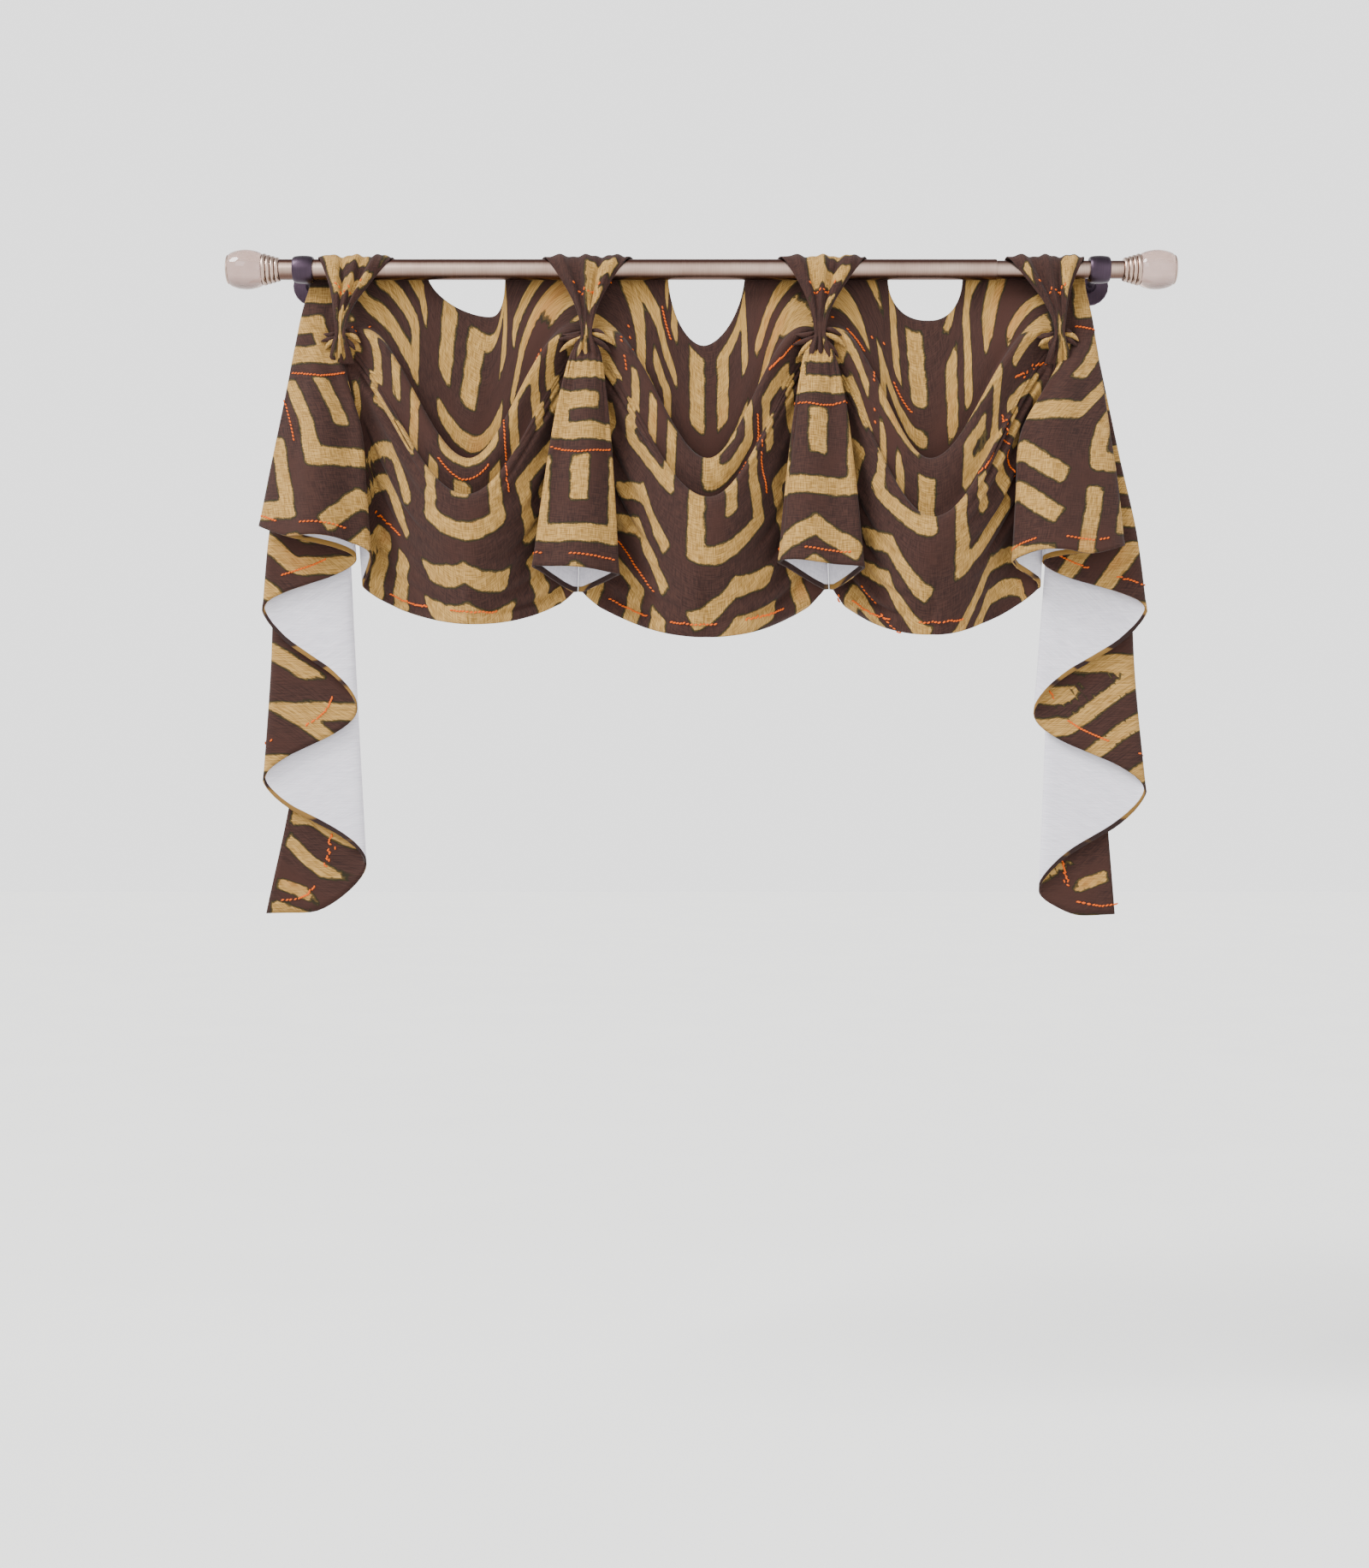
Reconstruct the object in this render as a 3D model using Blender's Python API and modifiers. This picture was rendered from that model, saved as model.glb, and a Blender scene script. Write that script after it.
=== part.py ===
"""Window swag on a rod: a lined valance with three swags, four trumpets and two pleated cascades.

It hangs by four tabs from a telescoping metal rod with crystal finials, held by two wall brackets.

Frame: metres, +X to the viewer's right, +Y towards the wall, +Z up. The origin lies on the wall plane,
at the height of the rod's axis, midway between the brackets. The tables of the cloth are in
millimetres from the middle of the rod's axis.
"""

import math

import bmesh
import bpy
from mathutils import Vector

MM = 0.001

# Rod, finials and brackets
ROD_FROM_WALL = 0.090
OUTER_TUBE_D = 0.0254
INNER_TUBE_D = 0.0222
TUBE_WALL = 0.0011
ROD_HALF = 0.5245
TUBE_JOINT_X = 0.367
INNER_TUBE_START_X = 0.167
FIT = 0.0003
COLLAR_X = 0.495
COLLAR_WIDTH = 0.025
COLLAR_D = 0.034
ARM_X = 0.499
ARM_D = 0.010
ARM_FOOT_D = 0.018
PLATE_D = 0.050
PLATE_T = 0.005
NECK_LENGTH = 0.021
GLASS_LENGTH = 0.0405
GLASS_D = 0.0485
CAP_D = 0.036
CAP_T = 0.0035
CAP_EDGE = 0.0021
CAP_FACE_D = 0.030
NECK_RINGS = 4
NECK_BIG_R = (0.0195, 0.0150)  # the rings' radius beside the glass and beside the rod
NECK_GROOVE = 0.0025
GLASS_STEPS = 6
GLASS_BULGE = 0.7
COLLAR_STEPS = 4
COLLAR_BULGE = 0.0022
ARM_FLARE = 0.010
PLATE_BEVEL = 0.001
ROUND_STEPS = 20

# Cloth: both sheets follow one middle surface, the face cloth in front of it and the lining behind
SHEET_GAP = 0.00015
FACE_T = 0.0012
LINING_T = 0.0010
TAB_T = 0.0016

# Four pinches, each with the back line of the trumpet below it: x at the pinch, x and z at the hem
PINCHES = (
    {"x": -446, "back_x": -416, "back_z": -399},
    {"x": -142, "back_x": -153, "back_z": -402},
    {"x": 146, "back_x": 158, "back_z": -399},
    {"x": 442, "back_x": 416, "back_z": -399},
)
SPLIT = 6  # half the gap between two swags behind a trumpet
SPLIT_DROP = 9  # how much lower the gap's sides start than the fold rows do at the pinch
SPLIT_FADE = 6  # the power by which that is lost down the trumpet
SEAM_BEND = 0.7  # the power that bends an end swag's seam with its cascade
SLIT = 4  # between a cascade and the swag beside it, above the pinch and behind the tab

# Three swags: the scoop's lowest point and its reach to each side, the heights at mid swag of the two
# cowl rims and of the hem, and where along the swag its lowest point lies
SWAGS = (
    {
        "dip_x": -266, "left": 78, "right": 21, "scoop": -56,
        "rim1": -241, "rim2": -289, "hem": -445, "low": 0.526, "left_power": 1.7, "right_power": 2.8,
    },
    {
        "dip_x": 3, "left": 46, "right": 53, "scoop": -92,
        "rim1": -241, "rim2": -292, "hem": -461, "low": 0.52, "left_power": 1.8, "right_power": 1.7,
    },
    {
        "dip_x": 284, "left": 52, "right": 44, "scoop": -61,
        "rim1": -241, "rim2": -316, "hem": -458, "low": 0.455, "left_power": 2.2, "right_power": 2.2,
    },
)
SCOOP_TOP_Y = 18
SCOOP_FORWARD = 5  # how much nearer the room the scoop's lowest point lies than the rest of the edge

# Rows of a swag below its scoop: the height at mid swag is level + drop, y is the place in depth there,
# side_z and side_y are the same at the pinch, bell is how narrow the fold hangs, and reach how late it
# comes forward
SWAG_ROWS = (
    {"level": "rim1", "drop": -17, "y": -8, "side_z": -62, "side_y": 3, "bell": 2.8, "reach": 1.0},
    {"level": "rim1", "drop": -21, "y": -18, "side_z": -66, "side_y": 2, "bell": 2.8, "reach": 1.0},
    {"level": "rim1", "drop": -9, "y": -27, "side_z": -69.5, "side_y": 1, "bell": 2.8, "reach": 1.0},
    {"level": "rim1", "drop": 0, "y": -34, "side_z": -73, "side_y": 0, "bell": 2.8, "reach": 1.0},
    {"level": "rim1", "drop": -7, "y": -40, "side_z": -76.5, "side_y": -1, "bell": 2.7, "reach": 1.0},
    {"level": "rim1", "drop": -28, "y": -42, "side_z": -79.5, "side_y": -2, "bell": 2.3, "reach": 1.2},
    {"level": "rim2", "drop": -4, "y": -39, "side_z": -82.5, "side_y": -3, "bell": 1.85, "reach": 1.4},
    {"level": "rim2", "drop": -10, "y": -50, "side_z": -86, "side_y": -3, "bell": 1.65, "reach": 1.6},
    {"level": "rim2", "drop": 0, "y": -60, "side_z": -93, "side_y": -3, "bell": 1.6, "reach": 1.7},
    {"level": "rim2", "drop": -4, "y": -67, "side_z": -98, "side_y": -3, "bell": 1.6, "reach": 1.8},
    {"level": "rim2", "drop": -24, "y": -70, "side_z": -118, "side_y": -4, "bell": 1.5, "reach": 1.9},
    {"level": "hem", "drop": 98, "y": -69, "side_z": -160, "side_y": -5, "bell": 1.4, "reach": 2.0},
    {"level": "hem", "drop": 62, "y": -62, "side_z": -225, "side_y": -6, "bell": 1.2, "reach": 2.0},
    {"level": "hem", "drop": 28, "y": -54, "side_z": -310, "side_y": -7, "bell": 1.0, "reach": 2.0},
    {"level": "hem", "drop": 0, "y": -50, "side_z": -400, "side_y": -8, "bell": 0.85, "reach": 2.0},
)
TOP_SHARES = (0.0, 0.25, 0.55, 0.8)  # rows between the scoop's edge and the first fold row
TRUMPET_ROW = 9  # the fold row where the trumpets begin
SETBACK = 7  # how far a swag steps back behind a trumpet's flap
SETBACK_ROW = 4  # the fold row where it begins to
SETBACK_ROWS = 4  # how many rows it takes
LATE = 3.0  # the folds' own heights come in late, so that near the pinch they lie flat
SCOOP_COLUMNS = 6
SIDE_COLUMNS = 3

# Two inner trumpets: middle and half width at the hem, depth of the front there, hem heights
TRUMPETS = (
    {"pinch": 1, "mid_x": -153, "half": 50.5, "front_y": -75, "front_z": -378, "tilt": -4.5},
    {"pinch": 2, "mid_x": 137, "half": 51, "front_y": -75, "front_z": -371, "tilt": -4},
)
TRUMPET_RIM = {"half": 10, "front_y": -18, "front_z": -92}
TRUMPET_COLUMNS = 8
TRUMPET_TURN = 0.68  # the share of a full turn round which the trumpet's front goes
TUCK_DEPTH = 8  # from a swag's edge to the flap in front of it
APEX_DEPTH = 0.55  # the share of that depth at which the fold behind the flap turns
APEX_REACH = 0.35  # how far that turn lies towards a swag's split edge, and the flap past it
FLAP_REACH = 1.1
FLARE = 0.6
SWELL = 0.8

# Two cascades: the outer trumpet's front corner, how far in it reaches and its drop at the hem, then
# the fold lines from there to the free edge, with x and drop at the hem
CASCADES = (
    {
        "pinch": 0,
        "out": -1,
        "top_x": -488,
        "slope": 0.145,
        "fold_x": -532,
        "edge_x": -506,
        "sag": 28,
        "corner": {"inward": 10, "drop": 357},
        "lines": ((-546, 320), (-424, 362), (-545, 423), (-426, 548), (-548, 636), (-417, 740), (-545, 802)),
    },
    {
        "pinch": 3,
        "out": 1,
        "top_x": 478,
        "slope": 0.184,
        "fold_x": 533.8,
        "edge_x": 504,
        "sag": 16,
        "corner": {"inward": 35, "drop": 368},
        "lines": ((519, 345), (419, 365), (554, 424), (410, 554), (557, 649), (421, 773), (518, 803)),
    },
)
CASCADE_ROWS = (0.0, 0.06, 0.12, 0.18, 0.246, 0.296, 0.40, 0.564, 0.777, 1.0)
CASCADE_FRONT_Y = (22, 15, 6, -1, -5, -9, -15, -22, -30, -36)
SHARED_ROWS = 6  # rows that a cascade shares with the swag beside it
LAYER_PITCH = 7
HEM_PITCH = 9
TIP = 0.03  # the share of a layer's width that turns into each fold
FOLD_DEPTH = 0.43
SILHOUETTE_START = 17
SILHOUETTE_END = 320
INNER_TOP_OFFSET = 9
FRONT_SWELL = 28
CORNER_WIDTH = 14
CORNER_FORWARD = 34
CORNER_BEND = 0.6
CORNER_OPENING = 0.35  # the share of the drop over which the corner swings across the swag
LAYERS = 7
FRONT_SHARES = (0.2, 0.45, 0.7)  # columns across the outer trumpet's broad front
EDGE_SHARE = 0.8  # the last column before the free edge
SWELL_BEND = 1.2
INNER_BEND = 1.3
OUTER_BEND = 4  # how late the outer folds flare out to their tips, and the free edge to its corner
EDGE_BEND = 9
# The tuck beside the seam, as x from the seam at the pinch and at the hem, and its place to the corner
SEAM_APEX = {"above": 5, "below": 3, "share": 0.1}
SEAM_FLAP = {"above": 9, "below": -0.5, "share": 0.3}
TUCK_OPENING = 0.12

# Four tabs: the pinch each gathers into, its width on top of the rod and behind it, and its middle there
TAB_WIDTHS = (
    {"pinch": 0, "top": 94, "back": 98, "mid_x": -430},
    {"pinch": 1, "top": 106, "back": 122, "mid_x": -142},
    {"pinch": 2, "top": 106, "back": 118, "mid_x": 151},
    {"pinch": 3, "top": 98, "back": 100, "mid_x": 428},
)
TAB_PLEATS = 3
TAB_COLUMNS = 12
# Rows of a tab from behind the rod to the pinch: angle round the rod or height below it,
# width as a share of the top width, pleat depth
TAB_ROUND_ROWS = (
    (195, 1.0, 0.0),
    (165, 1.0, 0.0),
    (135, 1.0, 1.0),
    (105, 0.99, 2.0),
    (75, 0.97, 2.5),
    (45, 0.92, 3.0),
    (15, 0.84, 4.0),
)
TAB_FALL_ROWS = ((-22, 0.53, 5.0), (-43, 0.32, 3.0), (-64, 0.18, 0.9), (-84, 0.13, 0.4))
TAB_LEAN = 0.10
TAB_BACK_START = 60  # the angle from which a tab widens to its back, and the angle over which it does
TAB_BACK_SWEEP = 100
TAB_SHIFT_DROP = 90  # the height over which a tab's middle moves from the rod's to the pinch's
TAB_CLEAR = 0.0009  # from the rod to the tab's corners, so that its flats clear the rod too


def lerp(a, b, t):
    """The value a share t of the way from a to b."""
    return a + (b - a) * t


def smooth(t):
    """A soft step from 0 to 1 for t from 0 to 1."""
    t = min(max(t, 0.0), 1.0)
    return t * t * (3 - 2 * t)


def trumpet_share(row):
    """How far down its trumpet a fold row's side lies, from 0 at the pinch to 1 at the hem."""
    top = SWAG_ROWS[TRUMPET_ROW]["side_z"]
    hem = SWAG_ROWS[-1]["side_z"]
    return max(0.0, (SWAG_ROWS[row]["side_z"] - top) / (hem - top))


def side_point(pinch, row, hand):
    """The end of a fold row at a pinch: left (-1), right (1) or midway (0) in the slit below it."""
    spec = PINCHES[pinch]
    share = trumpet_share(row)
    inner = pinch in (1, 2)
    shape = share if inner else share**SEAM_BEND
    x = lerp(spec["x"], spec["back_x"], shape)
    if inner and row >= TRUMPET_ROW:
        x += hand * SPLIT
    if not inner and row < TRUMPET_ROW:
        x += hand * SLIT / 2
    z = SWAG_ROWS[row]["side_z"] + (spec["back_z"] - SWAG_ROWS[-1]["side_z"]) * share
    if inner and hand and row >= TRUMPET_ROW:
        z -= SPLIT_DROP * (1 - share) ** SPLIT_FADE
    return Vector((x, SWAG_ROWS[row]["side_y"], z))


def fold_point(index, row, u):
    """A point of a swag's fold row, with u from 0 at its left pinch to 1 at its right."""
    swag = SWAGS[index]
    spec = SWAG_ROWS[row]
    if u in (0, 1):
        return side_point(index, row, 1) if u == 0 else side_point(index + 1, row, -1)
    side = side_point(index, row, 0).lerp(side_point(index + 1, row, 0), u)
    t = u / swag["low"] if u < swag["low"] else (1 - u) / (1 - swag["low"])
    rise = math.sin(math.pi / 2 * t)
    z = lerp(side.z, swag[spec["level"]], rise ** spec["bell"]) + spec["drop"] * rise**LATE
    start = side.y + SETBACK * smooth((row - SETBACK_ROW) / SETBACK_ROWS)
    y = lerp(start, spec["y"], rise ** spec["reach"])
    return Vector((side.x, y, z))


def scoop_point(index, column):
    """A point of the top edge: level behind the rod, and dipping in a rounded scoop between the tabs."""
    swag = SWAGS[index]
    if column < SIDE_COLUMNS:
        edge = swag["dip_x"] - swag["left"]
        return Vector((lerp(PINCHES[index]["x"], edge, column / SIDE_COLUMNS), SCOOP_TOP_Y, 0))
    if column > SIDE_COLUMNS + SCOOP_COLUMNS:
        edge = swag["dip_x"] + swag["right"]
        share = (column - SIDE_COLUMNS - SCOOP_COLUMNS) / SIDE_COLUMNS
        return Vector((lerp(edge, PINCHES[index + 1]["x"], share), SCOOP_TOP_Y, 0))
    turn = math.pi * (column - SIDE_COLUMNS) / SCOOP_COLUMNS
    side = "left" if math.cos(turn) > 0 else "right"
    bend = 2 / swag[side + "_power"]
    x = swag["dip_x"] - math.copysign(abs(math.cos(turn)) ** bend, math.cos(turn)) * swag[side]
    dip = abs(math.sin(turn)) ** bend
    return Vector((x, SCOOP_TOP_Y - SCOOP_FORWARD * dip, swag["scoop"] * dip))


def swag_grid(index):
    """Rows of points of one swag, from its scoop to its hem."""
    columns = SCOOP_COLUMNS + 2 * SIDE_COLUMNS
    first = [fold_point(index, 0, c / columns) for c in range(columns + 1)]
    rows = [[scoop_point(index, c).lerp(first[c], share) for c in range(columns + 1)] for share in TOP_SHARES]
    rows += [[fold_point(index, r, c / columns) for c in range(columns + 1)] for r in range(len(SWAG_ROWS))]
    return rows


def trumpet_grid(spec):
    """Rows of points round an inner trumpet, from its centre back by the left and the front to the back."""
    rows = []
    for row in range(TRUMPET_ROW, len(SWAG_ROWS)):
        share = trumpet_share(row)
        left = side_point(spec["pinch"], row, -1)
        right = side_point(spec["pinch"], row, 1)
        back = left.lerp(right, 0.5)
        half = lerp(TRUMPET_RIM["half"], spec["half"], share**FLARE)
        front_y = lerp(TRUMPET_RIM["front_y"], spec["front_y"], share**SWELL)
        front_z = lerp(TRUMPET_RIM["front_z"], spec["front_z"], share)
        mid_x = lerp(PINCHES[spec["pinch"]]["x"], spec["mid_x"], share)
        points = []
        for c in range(TRUMPET_COLUMNS + 1):
            turn = math.pi * TRUMPET_TURN * (2 * c / TRUMPET_COLUMNS - 1)
            front = math.sqrt((1 + math.cos(turn)) / 2)
            x = lerp(back.x, mid_x, front) + half * math.sin(turn)
            y = lerp(back.y - TUCK_DEPTH, front_y, front)
            z = lerp(back.z, front_z, 1 - (1 - front) ** 2) + spec["tilt"] * share * math.sin(turn)
            points.append(Vector((x, y, z)))
        for hand, end in ((-1, left), (1, right)):
            apex = back + Vector((hand * SPLIT * APEX_REACH, -TUCK_DEPTH * APEX_DEPTH, 0))
            flap = back + Vector((hand * SPLIT * FLAP_REACH, -TUCK_DEPTH, 0))
            points = [end, apex, flap] + points if hand < 0 else points + [flap, apex, end]
        rows.append(points)
    return rows


def cascade_seam(spec, row):
    """Where a cascade joins the swag beside it, or the edge of the slit above that."""
    first_shared = len(CASCADE_ROWS) - SHARED_ROWS
    if row >= first_shared:
        return side_point(spec["pinch"], TRUMPET_ROW + row - first_shared, -spec["out"])
    x = PINCHES[spec["pinch"]]["x"] + SLIT * spec["out"]
    return Vector((x, CASCADE_FRONT_Y[row], -spec["corner"]["drop"] * CASCADE_ROWS[row]))


def cascade_corner(spec, row):
    """The front corner of an outer trumpet, which folds over the swag below the pinch."""
    share = CASCADE_ROWS[row]
    pinch_share = CASCADE_ROWS[-SHARED_ROWS]
    seam = cascade_seam(spec, row)
    over = smooth((share - pinch_share) / CORNER_OPENING)
    inward = lerp(-CORNER_WIDTH, spec["corner"]["inward"], over)
    open_share = max(0.0, (share - pinch_share) / (1 - pinch_share))
    forward = CORNER_FORWARD * open_share**CORNER_BEND
    return Vector((seam.x - spec["out"] * inward, seam.y - forward, -spec["corner"]["drop"] * share))


def cascade_line(spec, number, share):
    """The x and z of a cascade's fold line at a share of its drop, number 1 at the first outer fold."""
    hem_x, drop = spec["lines"][number - 1]
    pinch_x = PINCHES[spec["pinch"]]["x"]
    fall = min(max(drop * share - SILHOUETTE_START, 0), SILHOUETTE_END - SILHOUETTE_START)
    if number == 1:
        reach = min(drop, SILHOUETTE_END) - SILHOUETTE_START
        return lerp(spec["top_x"], hem_x, fall / reach), -drop * share
    if number == LAYERS:
        fall = min(fall, abs(spec["edge_x"] - spec["top_x"]) / spec["slope"])
    if number % 2:
        free = spec["top_x"] + spec["out"] * spec["slope"] * fall
        hem_free = spec["edge_x"] if number == LAYERS else spec["fold_x"]
        bend = EDGE_BEND if number == LAYERS else OUTER_BEND
        return free + (hem_x - hem_free) * share**bend, -drop * share
    start = pinch_x + spec["out"] * INNER_TOP_OFFSET
    return lerp(start, hem_x, share**INNER_BEND), -drop * share


def cascade_columns():
    """Columns from the corner line to the free edge: line number, share to the next line, depth in layers."""
    columns = [(0, 0.0, 0.0)]
    for layer in range(LAYERS):
        inner = FRONT_SHARES if layer == 0 else (0.5,)
        columns += [(layer, share, float(layer)) for share in inner]
        if layer < LAYERS - 1:
            columns.append((layer, 1.0 - TIP, layer + 0.5 - FOLD_DEPTH))
            columns.append((layer, 1.0, layer + 0.5))
            columns.append((layer + 1, TIP, layer + 0.5 + FOLD_DEPTH))
    columns.append((LAYERS - 1, EDGE_SHARE, float(LAYERS - 1)))
    columns.append((LAYERS - 1, 1.0, float(LAYERS - 1)))
    return columns


def cascade_point(spec, column, row):
    """A point of a cascade's pleated layers."""
    line, share, depth = column
    fall = CASCADE_ROWS[row]
    front_y = CASCADE_FRONT_Y[row]
    pitch = lerp(LAYER_PITCH, HEM_PITCH, fall**2)
    x1, z1 = cascade_line(spec, line + 1, fall)
    if line == 0:
        corner = cascade_corner(spec, row)
        edge = Vector((x1, front_y, z1))
        point = corner.lerp(edge, share)
        point.y += pitch * depth - FRONT_SWELL * fall**SWELL_BEND * math.sin(math.pi * share)
        return point
    x0, z0 = cascade_line(spec, line, fall)
    z = lerp(z0, z1, share)
    if line == LAYERS - 1:
        z -= spec["sag"] * fall * math.sin(math.pi * share)
    return Vector((lerp(x0, x1, share), front_y + pitch * depth, z))


def cascade_grid(spec):
    """Rows of points of a cascade with the outer trumpet's front, ordered from left to right."""
    rows = []
    for row in range(len(CASCADE_ROWS)):
        seam = cascade_seam(spec, row)
        corner = cascade_corner(spec, row)
        opened = smooth((CASCADE_ROWS[row] - CASCADE_ROWS[-SHARED_ROWS]) / TUCK_OPENING)
        apex = seam.lerp(corner, SEAM_APEX["share"])
        apex.x = seam.x + spec["out"] * lerp(SEAM_APEX["above"], SEAM_APEX["below"], opened)
        apex.y = seam.y - TUCK_DEPTH * APEX_DEPTH * opened
        flap = seam.lerp(corner, SEAM_FLAP["share"])
        flap.x = seam.x + spec["out"] * lerp(SEAM_FLAP["above"], SEAM_FLAP["below"], opened)
        flap.y = seam.y - TUCK_DEPTH * opened
        points = [seam, apex, flap]
        points += [cascade_point(spec, column, row) for column in cascade_columns()]
        if spec["out"] < 0:
            points.reverse()
        rows.append(points)
    return rows


def add_grid(bm, rows):
    """Faces between the rows of a grid of points given in millimetres."""
    verts = [[bm.verts.new(point * MM) for point in row] for row in rows]
    for upper, lower in zip(verts, verts[1:]):
        for c in range(len(upper) - 1):
            bm.faces.new((upper[c], lower[c], lower[c + 1], upper[c + 1]))


def middle_surface():
    """The cloth's middle surface as one mesh: cascade, swags and trumpets in turn, then the other cascade."""
    bm = bmesh.new()
    for spec in CASCADES:
        add_grid(bm, cascade_grid(spec))
    for index in range(len(SWAGS)):
        add_grid(bm, swag_grid(index))
    for spec in TRUMPETS:
        add_grid(bm, trumpet_grid(spec))
    bmesh.ops.remove_doubles(bm, verts=bm.verts, dist=0.01 * MM)
    bmesh.ops.triangulate(bm, faces=bm.faces, quad_method="SHORT_EDGE")
    bm.normal_update()
    return bm


def material(name, colour, roughness, metallic=0.0):
    """A plain Principled material."""
    made = bpy.data.materials.new(name)
    made.use_nodes = True
    bsdf = made.node_tree.nodes["Principled BSDF"]
    bsdf.inputs["Base Color"].default_value = (*colour, 1)
    bsdf.inputs["Roughness"].default_value = roughness
    bsdf.inputs["Metallic"].default_value = metallic
    return made


def place(name, mesh, mat, collection, parent):
    """An object with one material, in the rod's own frame."""
    obj = bpy.data.objects.new(name, mesh)
    obj.data.materials.append(mat)
    obj.parent = parent
    collection.objects.link(obj)
    return obj


def thicken(obj, thickness):
    """Closes an open sheet to a solid, outwards along its normals."""
    solid = obj.modifiers.new("Thickness", "SOLIDIFY")
    solid.thickness = thickness
    solid.offset = 1
    solid.use_rim = True


def sheet(name, mat, collection, parent, inner, thickness, flip):
    """One layer of the cloth, starting a little off the middle surface."""
    bm = middle_surface()
    if flip:
        bmesh.ops.reverse_faces(bm, faces=bm.faces)
        bm.normal_update()
    offsets = [vert.normal * inner for vert in bm.verts]
    for vert, offset in zip(bm.verts, offsets):
        vert.co += offset
    mesh = bpy.data.meshes.new(name)
    bm.to_mesh(mesh)
    bm.free()
    mesh.shade_smooth()
    thicken(place(name, mesh, mat, collection, parent), thickness)


def tab_rows(spec):
    """Rows of points of a tab's middle surface, from behind the rod over it and down to the pinch."""
    reach = (OUTER_TUBE_D / 2 + TAB_CLEAR + TAB_T / 2) / MM
    pinch_x = PINCHES[spec["pinch"]]["x"]
    levels = []
    for angle, share, pleat in TAB_ROUND_ROWS:
        turn = math.radians(angle)
        back = smooth((angle - TAB_BACK_START) / TAB_BACK_SWEEP)
        width = lerp(spec["top"] * share, spec["back"], back)
        levels.append((-reach * math.cos(turn), reach * math.sin(turn), width, pleat))
    for z, share, pleat in TAB_FALL_ROWS:
        levels.append((-reach + TAB_LEAN * z, z, spec["top"] * share, pleat))
    rows = []
    for y, z, width, pleat in levels:
        toward = smooth((reach - z) / TAB_SHIFT_DROP) if y < 0 else 0
        middle = lerp(spec["mid_x"], pinch_x, toward)
        row = []
        for c in range(TAB_COLUMNS + 1):
            share = c / TAB_COLUMNS
            lift = pleat * (1 - math.cos(math.tau * TAB_PLEATS * share)) / 2
            out = Vector((0, y, z)).normalized() if z >= 0 else Vector((0, -1, 0))
            row.append(Vector((middle + width * (share - 0.5), y, z)) + out * lift)
        rows.append(row)
    return rows


def tab(number, spec, mat, collection, parent):
    """A pleated, self-lined strap over the rod."""
    bm = bmesh.new()
    add_grid(bm, tab_rows(spec))
    bm.normal_update()
    half = TAB_T / 2
    offsets = [vert.normal * -half for vert in bm.verts]
    for vert, offset in zip(bm.verts, offsets):
        vert.co += offset
    name = f"tab_{number}"
    mesh = bpy.data.meshes.new(name)
    bm.to_mesh(mesh)
    bm.free()
    mesh.shade_smooth()
    thicken(place(name, mesh, mat, collection, parent), TAB_T)


def turned(name, profile, mat, collection, parent, closed=False):
    """A body turned round the X axis from a profile of (x, radius) points, left end to right end."""
    bm = bmesh.new()
    verts = [bm.verts.new((radius, 0, -x)) for x, radius in profile]
    for a, b in zip(verts, verts[1:] + verts[:1] if closed else verts[1:]):
        bm.edges.new((a, b))
    mesh = bpy.data.meshes.new(name)
    bm.to_mesh(mesh)
    bm.free()
    obj = place(name, mesh, mat, collection, parent)
    obj.rotation_euler = (0, -math.pi / 2, 0)
    screw = obj.modifiers.new("Turn", "SCREW")
    screw.axis = "Z"
    screw.steps = ROUND_STEPS
    screw.render_steps = ROUND_STEPS
    screw.use_merge_vertices = True
    screw.merge_threshold = 0.00001
    screw.use_smooth_shade = True
    return obj


def tube_profile(start, end, outer_d):
    """The closed section of a tube."""
    outer = outer_d / 2
    inner = outer - TUBE_WALL
    return ((start, inner), (start, outer), (end, outer), (end, inner))


def neck_profile():
    """Four stacked rings that shrink towards the rod, from the glass at 0 to the rod's end."""
    points = [(0.0, 0.0)]
    pitch = NECK_LENGTH / NECK_RINGS
    for ring in range(NECK_RINGS):
        big = lerp(*NECK_BIG_R, ring / (NECK_RINGS - 1))
        small = big - NECK_GROOVE
        start = ring * pitch
        points += [(start, small), (start + 0.5 * pitch, big)]
    return points + [(NECK_LENGTH, small), (NECK_LENGTH, 0.0)]


def glass_profile():
    """A crystal barrel, fullest at its middle, with flat ends."""
    end_r = CAP_D / 2 + PLATE_BEVEL
    points = [(0.0, 0.0)]
    for step in range(GLASS_STEPS + 1):
        share = step / GLASS_STEPS
        bulge = max(0.0, math.sin(math.pi * share)) ** GLASS_BULGE
        points.append((share * GLASS_LENGTH, lerp(end_r, GLASS_D / 2, bulge)))
    return points + [(GLASS_LENGTH, 0.0)]


def shifted(profile, start, out):
    """A profile moved to start at x, or mirrored there, always listed from left to right."""
    if out > 0:
        return [(start + x, radius) for x, radius in profile]
    return [(start - x, radius) for x, radius in reversed(profile)]


def finial(hand, out, mats, collection, parent):
    """Neck, glass and cap at one end of the rod."""
    start = out * (ROD_HALF + FIT)
    neck = [(NECK_LENGTH - x, radius) for x, radius in reversed(neck_profile())]
    turned(f"finial_neck_{hand}", shifted(neck, start, out), mats["metal"], collection, parent)
    start += out * (NECK_LENGTH + FIT)
    turned(f"finial_glass_{hand}", shifted(glass_profile(), start, out), mats["glass"], collection, parent)
    start += out * (GLASS_LENGTH + FIT)
    cap = ((0, 0), (0, CAP_D / 2), (CAP_EDGE, CAP_D / 2), (CAP_T, CAP_FACE_D / 2), (CAP_T, 0))
    turned(f"finial_cap_{hand}", shifted(cap, start, out), mats["metal"], collection, parent)


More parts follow.
